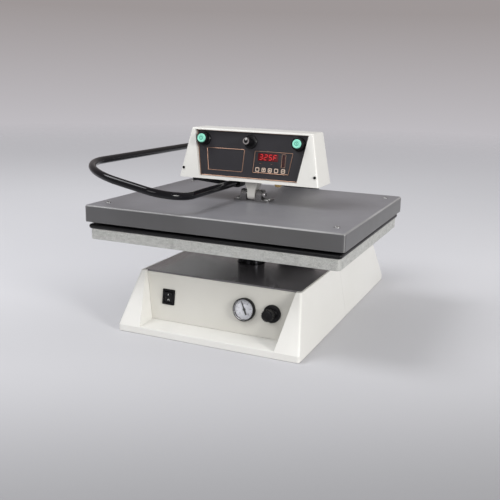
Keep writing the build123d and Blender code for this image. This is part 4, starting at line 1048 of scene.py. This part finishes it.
def buildGaugeCase(place):
    s = gaugeSizes
    rim, inner, proud = s["rim"], s["rim"] - 3.4, s["proud"]
    shell = lathe("gaugeShell", [
        (0, -26), (s["body"], -26), (s["body"], 0), (rim, 0), (rim, proud - 2.2), (rim - 0.5, proud - 0.9),
        (rim - 1.3, proud - 0.4), (rim - 2.8, proud - 0.5), (rim - 2.9, proud - 1.3), (inner, proud - 1.5),
        (inner, 0.9), (0, 0.9)], place, "blackPlastic", 96)
    ring = lathe("gaugeRing", [
        (rim - 2.8, proud - 1.4), (rim - 2.7, proud - 0.4), (rim - 2.9, proud - 0.1),
        (rim - 3.2, proud - 0.2), (inner, proud - 0.7), (inner, proud - 1.6)], place, "brightSteel", 96, True)
    stem = lathe("gaugeStem", [(0, -48), (5, -48), (5, -40), (6.5, -40), (6.5, -26)], place, "turnedBrass",
                 32)
    standIn(mergeObjects("gaugeHousing", [shell, ring, stem]), "gauge_case")


def buildGaugeDial(place):
    s = gaugeSizes
    face, high = s["face"], s["dial"]
    profile = [(1.3, 1.05), (face, 1.05), (face, high), (1.3, high)]
    made = [lathe("dialFace", profile, place, "dialWhite", 96, True)]
    inked = shifted(place, z=high + s["lift"])
    for name, count, reach, size in (("longTicks", 11, 17.0, (3.0, 0.55, 0.12)),
                                     ("shortTicks", 51, 17.8, (1.4, 0.25, 0.12))):
        made.append(bars(name, count, reach, size, "inkBlack", inked, -45, s["sweep"]))
    for number in range(0, 11, 2):
        a = radians(225 - s["sweep"] / 10 * number)
        spot = shifted(place, s["numbers"] * cos(a), s["numbers"] * sin(a), high + 0.04)
        made.append(flatText("dialNumber", str(number), s["numberSize"], spot, "inkBlack"))
    standIn(mergeObjects("gaugeDialFace", made), "gauge_dial")


def buildGaugeFront(place):
    s = gaugeSizes
    lens, proud, tip, tail = s["lens"], s["proud"], s["needle"], -s["tail"]
    profile = [(0, proud - 3.0), (lens, proud - 3.0), (lens, proud - 1.3), (0, proud - 0.9)]
    standIn(lathe("gaugeLens", profile, place, "gaugeGlass", 96), "gauge_glass")
    turned = place @ Matrix.Rotation(radians(s["rest"]), 4, "Z")
    outline = [(-1.8, tail), (1.8, tail), (1.5, -1), (0.7, tip), (-0.7, tip), (-1.5, -1)]
    blade = prism("needleBlade", outline, 2.8, 3.3, turned, "inkBlack")
    profile = [(0, 1.3), (1.1, 1.3), (1.1, 2.6), (2.9, 2.6), (2.9, 3.6), (2.3, 4.0), (0, 4.1)]
    hub = lathe("needleHub", profile, turned, "inkBlack", 40)
    standIn(mergeObjects("gaugePointer", [blade, hub]), "gauge_needle")


for buildPiece in (buildGaugeCase, buildGaugeDial, buildGaugeFront):
    buildPiece(onPanel(gaugeSizes["x"]))

# Regulator: panel nut and ribbed knob
regulatorSizes = {"x": 123.16, "lugs": 12, "lugReach": 17.6, "ribs": 20, "ribReach": 11.5}


def buildRegulator():
    s = regulatorSizes
    place = onPanel(s["x"])
    nut = lathe("regulatorRing", [(8.2, 0), (18.2, 0), (18.2, 4.6), (17.4, 5.6), (16.4, 6.0), (8.2, 6.0)],
                place, "blackPlastic", 72, True)
    lugs = bars("ringLugs", s["lugs"], s["lugReach"], (1.6, 4.2, 4.0), "blackPlastic",
                shifted(place, z=3.2))
    standIn(mergeObjects("regulatorClamp", [nut, lugs]), "regulator_nut")
    knob = lathe("regulatorGrip", [
        (8.3, 6.5), (12.2, 6.5), (12.4, 7.2), (12.0, 9.5), (11.3, 10.2), (11.3, 30.4), (11.0, 31.6),
        (10.2, 32.6), (9.0, 33.0), (7.6, 32.4), (0, 32.4)], place, "blackPlastic", 72)
    ribs = bars("gripRibs", s["ribs"], s["ribReach"], (1.5, 1.6, 20.0), "blackPlastic",
                shifted(place, z=20.6))
    standIn(mergeObjects("regulatorTurner", [knob, ribs]), "regulator_knob")


buildRegulator()

# On and off marks of the rocker switch
switchSizes = {"x": -114.76, "tilt": 9.0, "mark": 6.2}


def buildSwitch():
    s = switchSizes
    tilted = onPanel(s["x"]) @ Matrix.Rotation(radians(s["tilt"]), 4, "X")
    bar = prism("onStroke", roundedOutline(0.9, 4.2, 0.3, 2), 2.0, 2.12,
                shifted(tilted, y=s["mark"]), "inkWhite")
    ring = lathe("offRing", [(1.5, 1.96), (1.5, 2.12), (2.2, 2.12), (2.2, 1.96)],
                 shifted(tilted, y=-s["mark"]), "inkWhite", 32, True)
    settle(mergeObjects("switchMarks", [bar, ring]), bodyOf["rocker"])


buildSwitch()
print("base controls built")

# Soft layers: the pad's silicone sheet and the felt over the heater
layers = {
    "press_pad": dict(width=551, depth=462, corner=6, low=213.6, high=223.0, edge=4.2, look="blackRubber"),
    "insulation": dict(width=534, depth=444, corner=8, low=246.3, high=261.6, edge=2.5, look="feltWhite"),
}


def buildLayer(node, width, depth, corner, low, high, edge, look):
    outline = roundedOutline(width, depth, corner, 8)
    sheet = prism(node + "Sheet", outline, low, high, Matrix(), look, edge, edge)
    standIn(sheet, node)


for layerNode, layerSizes in layers.items():
    buildLayer(layerNode, **layerSizes)
print("soft layers laid")

# Post seal on the base's top plate
sealSizes = {"inner": 30.2, "outer": 31.8, "low": 119.8, "high": 123.4}


def buildSeal():
    inner, outer, low, high = (sealSizes[key] for key in ("inner", "outer", "low", "high"))
    profile = [(inner, low), (outer, low), (outer, high - 0.5), (outer - 0.5, high), (inner + 0.3, high),
               (inner, high - 0.4)]
    settle(lathe("postSeal", profile, Matrix(), "blackRubber", 96, True), "base")


buildSeal()
print("seal fitted")

# Floor, lamps and world
stage = {
    "heading": (-0.50, 0.866, 0.0),
    # Floor tones along the view heading: dark near the front, paler further back and a little darker far off,
    # painted shade and light on the floor.
    "tones": ((-0.9, 0.30), (-0.25, 0.60), (0.5, 0.74), (2.0, 0.76), (4.0, 0.66)),
    "reach": (-1.0, 4.0),
    "tint": (0.99, 0.985, 1.02),
    "radius": 8.0,
    "clear": 1.9,
    "gone": 6.2,
    "light": 0.56,
    "lightTint": (0.98, 0.985, 1.0),
    "skyLow": (0.56, 0.545, 0.575),
    "skyHigh": (0.34, 0.31, 0.31),
    "skyBand": (-0.10, 0.08),
}


def buildFloor():
    work = bmesh.new()
    bmesh.ops.create_circle(work, cap_ends=True, segments=96, radius=stage["radius"])
    mesh = bpy.data.meshes.new("studioFloor")
    work.to_mesh(mesh)
    work.free()
    floor = newObject("studioFloor", mesh)
    material, tree, surface = newMaterial("floorPaper", {"Specular IOR Level": 0.2, "Roughness": 0.7})
    where = objectSpace(tree)
    along = onVectors(tree, "DOT_PRODUCT", where, stage["heading"])["Value"]
    low, high = stage["reach"]
    ramp = addNode(tree, "ShaderNodeValToRGB", {"Fac": spreadOut(tree, along, low, high)})
    ramp.color_ramp.interpolation = "EASE"
    while len(ramp.color_ramp.elements) < len(stage["tones"]):
        ramp.color_ramp.elements.new(0.5)
    for stop, (distance, tone) in zip(ramp.color_ramp.elements, stage["tones"]):
        stop.position = (distance - low) / (high - low)
        stop.color = colour(*(tone * share for share in stage["tint"]))
    feed(tree, ramp.outputs["Color"], surface["Base Color"])
    length = onVectors(tree, "LENGTH", where)["Value"]
    fade = spreadOut(tree, length, stage["clear"], stage["gone"])
    clear = addNode(tree, "ShaderNodeBsdfTransparent").outputs[0]
    blendShaders(tree, fade, tree.nodes["Principled BSDF"].outputs[0], clear, "Material Output")
    mesh.materials.append(material)


def buildWorld():
    world = bpy.data.worlds.new("studio")
    scene.world = world
    world.use_nodes = True
    tree = world.node_tree
    light = tree.nodes["Background"]
    feed(tree, colour(*stage["lightTint"]), light.inputs["Color"])
    feed(tree, stage["light"], light.inputs["Strength"])
    ahead = addNode(tree, "ShaderNodeTexCoord").outputs["Generated"]
    heading = addNode(tree, "ShaderNodeSeparateXYZ", {0: ahead})
    rise = spreadOut(tree, heading.outputs["Z"], *stage["skyBand"])
    sky = mixColours(tree, rise, colour(*stage["skyLow"]), colour(*stage["skyHigh"]))
    backdrop = addNode(tree, "ShaderNodeBackground", {"Color": sky})
    ray = addNode(tree, "ShaderNodeLightPath").outputs
    seen = calculate(tree, "MAXIMUM", ray["Is Camera Ray"], ray["Is Glossy Ray"])
    seen = calculate(tree, "MAXIMUM", seen, ray["Is Transmission Ray"])
    blendShaders(tree, seen, light.outputs[0], backdrop.outputs[0], "World Output")


lamps = {
    "keyLight": dict(place=(3.4, -1.3, 1.35), size=1.2, power=76.0, tint=(1.0, 0.99, 0.97)),
    "frontSoft": dict(place=(-0.2, -3.3, 1.8), size=1.6, power=17.0, tint=(1.0, 1.0, 1.0)),
    "topSoft": dict(place=(-1.4, -0.9, 2.6), size=1.4, power=38.0, tint=(0.97, 0.98, 1.0)),
}


def buildLamp(name, place, size, power, tint):
    data = bpy.data.lights.new(name, "AREA")
    data.shape = "DISK"
    data.size = size
    data.energy = power
    data.color = tint
    lamp = newObject(name, data)
    lamp.location = place
    aim = Vector((0, 0.05, 0.22)) - Vector(place)
    lamp.rotation_euler = aim.to_track_quat("-Z", "Y").to_euler()


buildFloor()
buildWorld()
for lampName, lampValues in lamps.items():
    buildLamp(lampName, **lampValues)
print("stage lit")

bpy.context.view_layer.update()
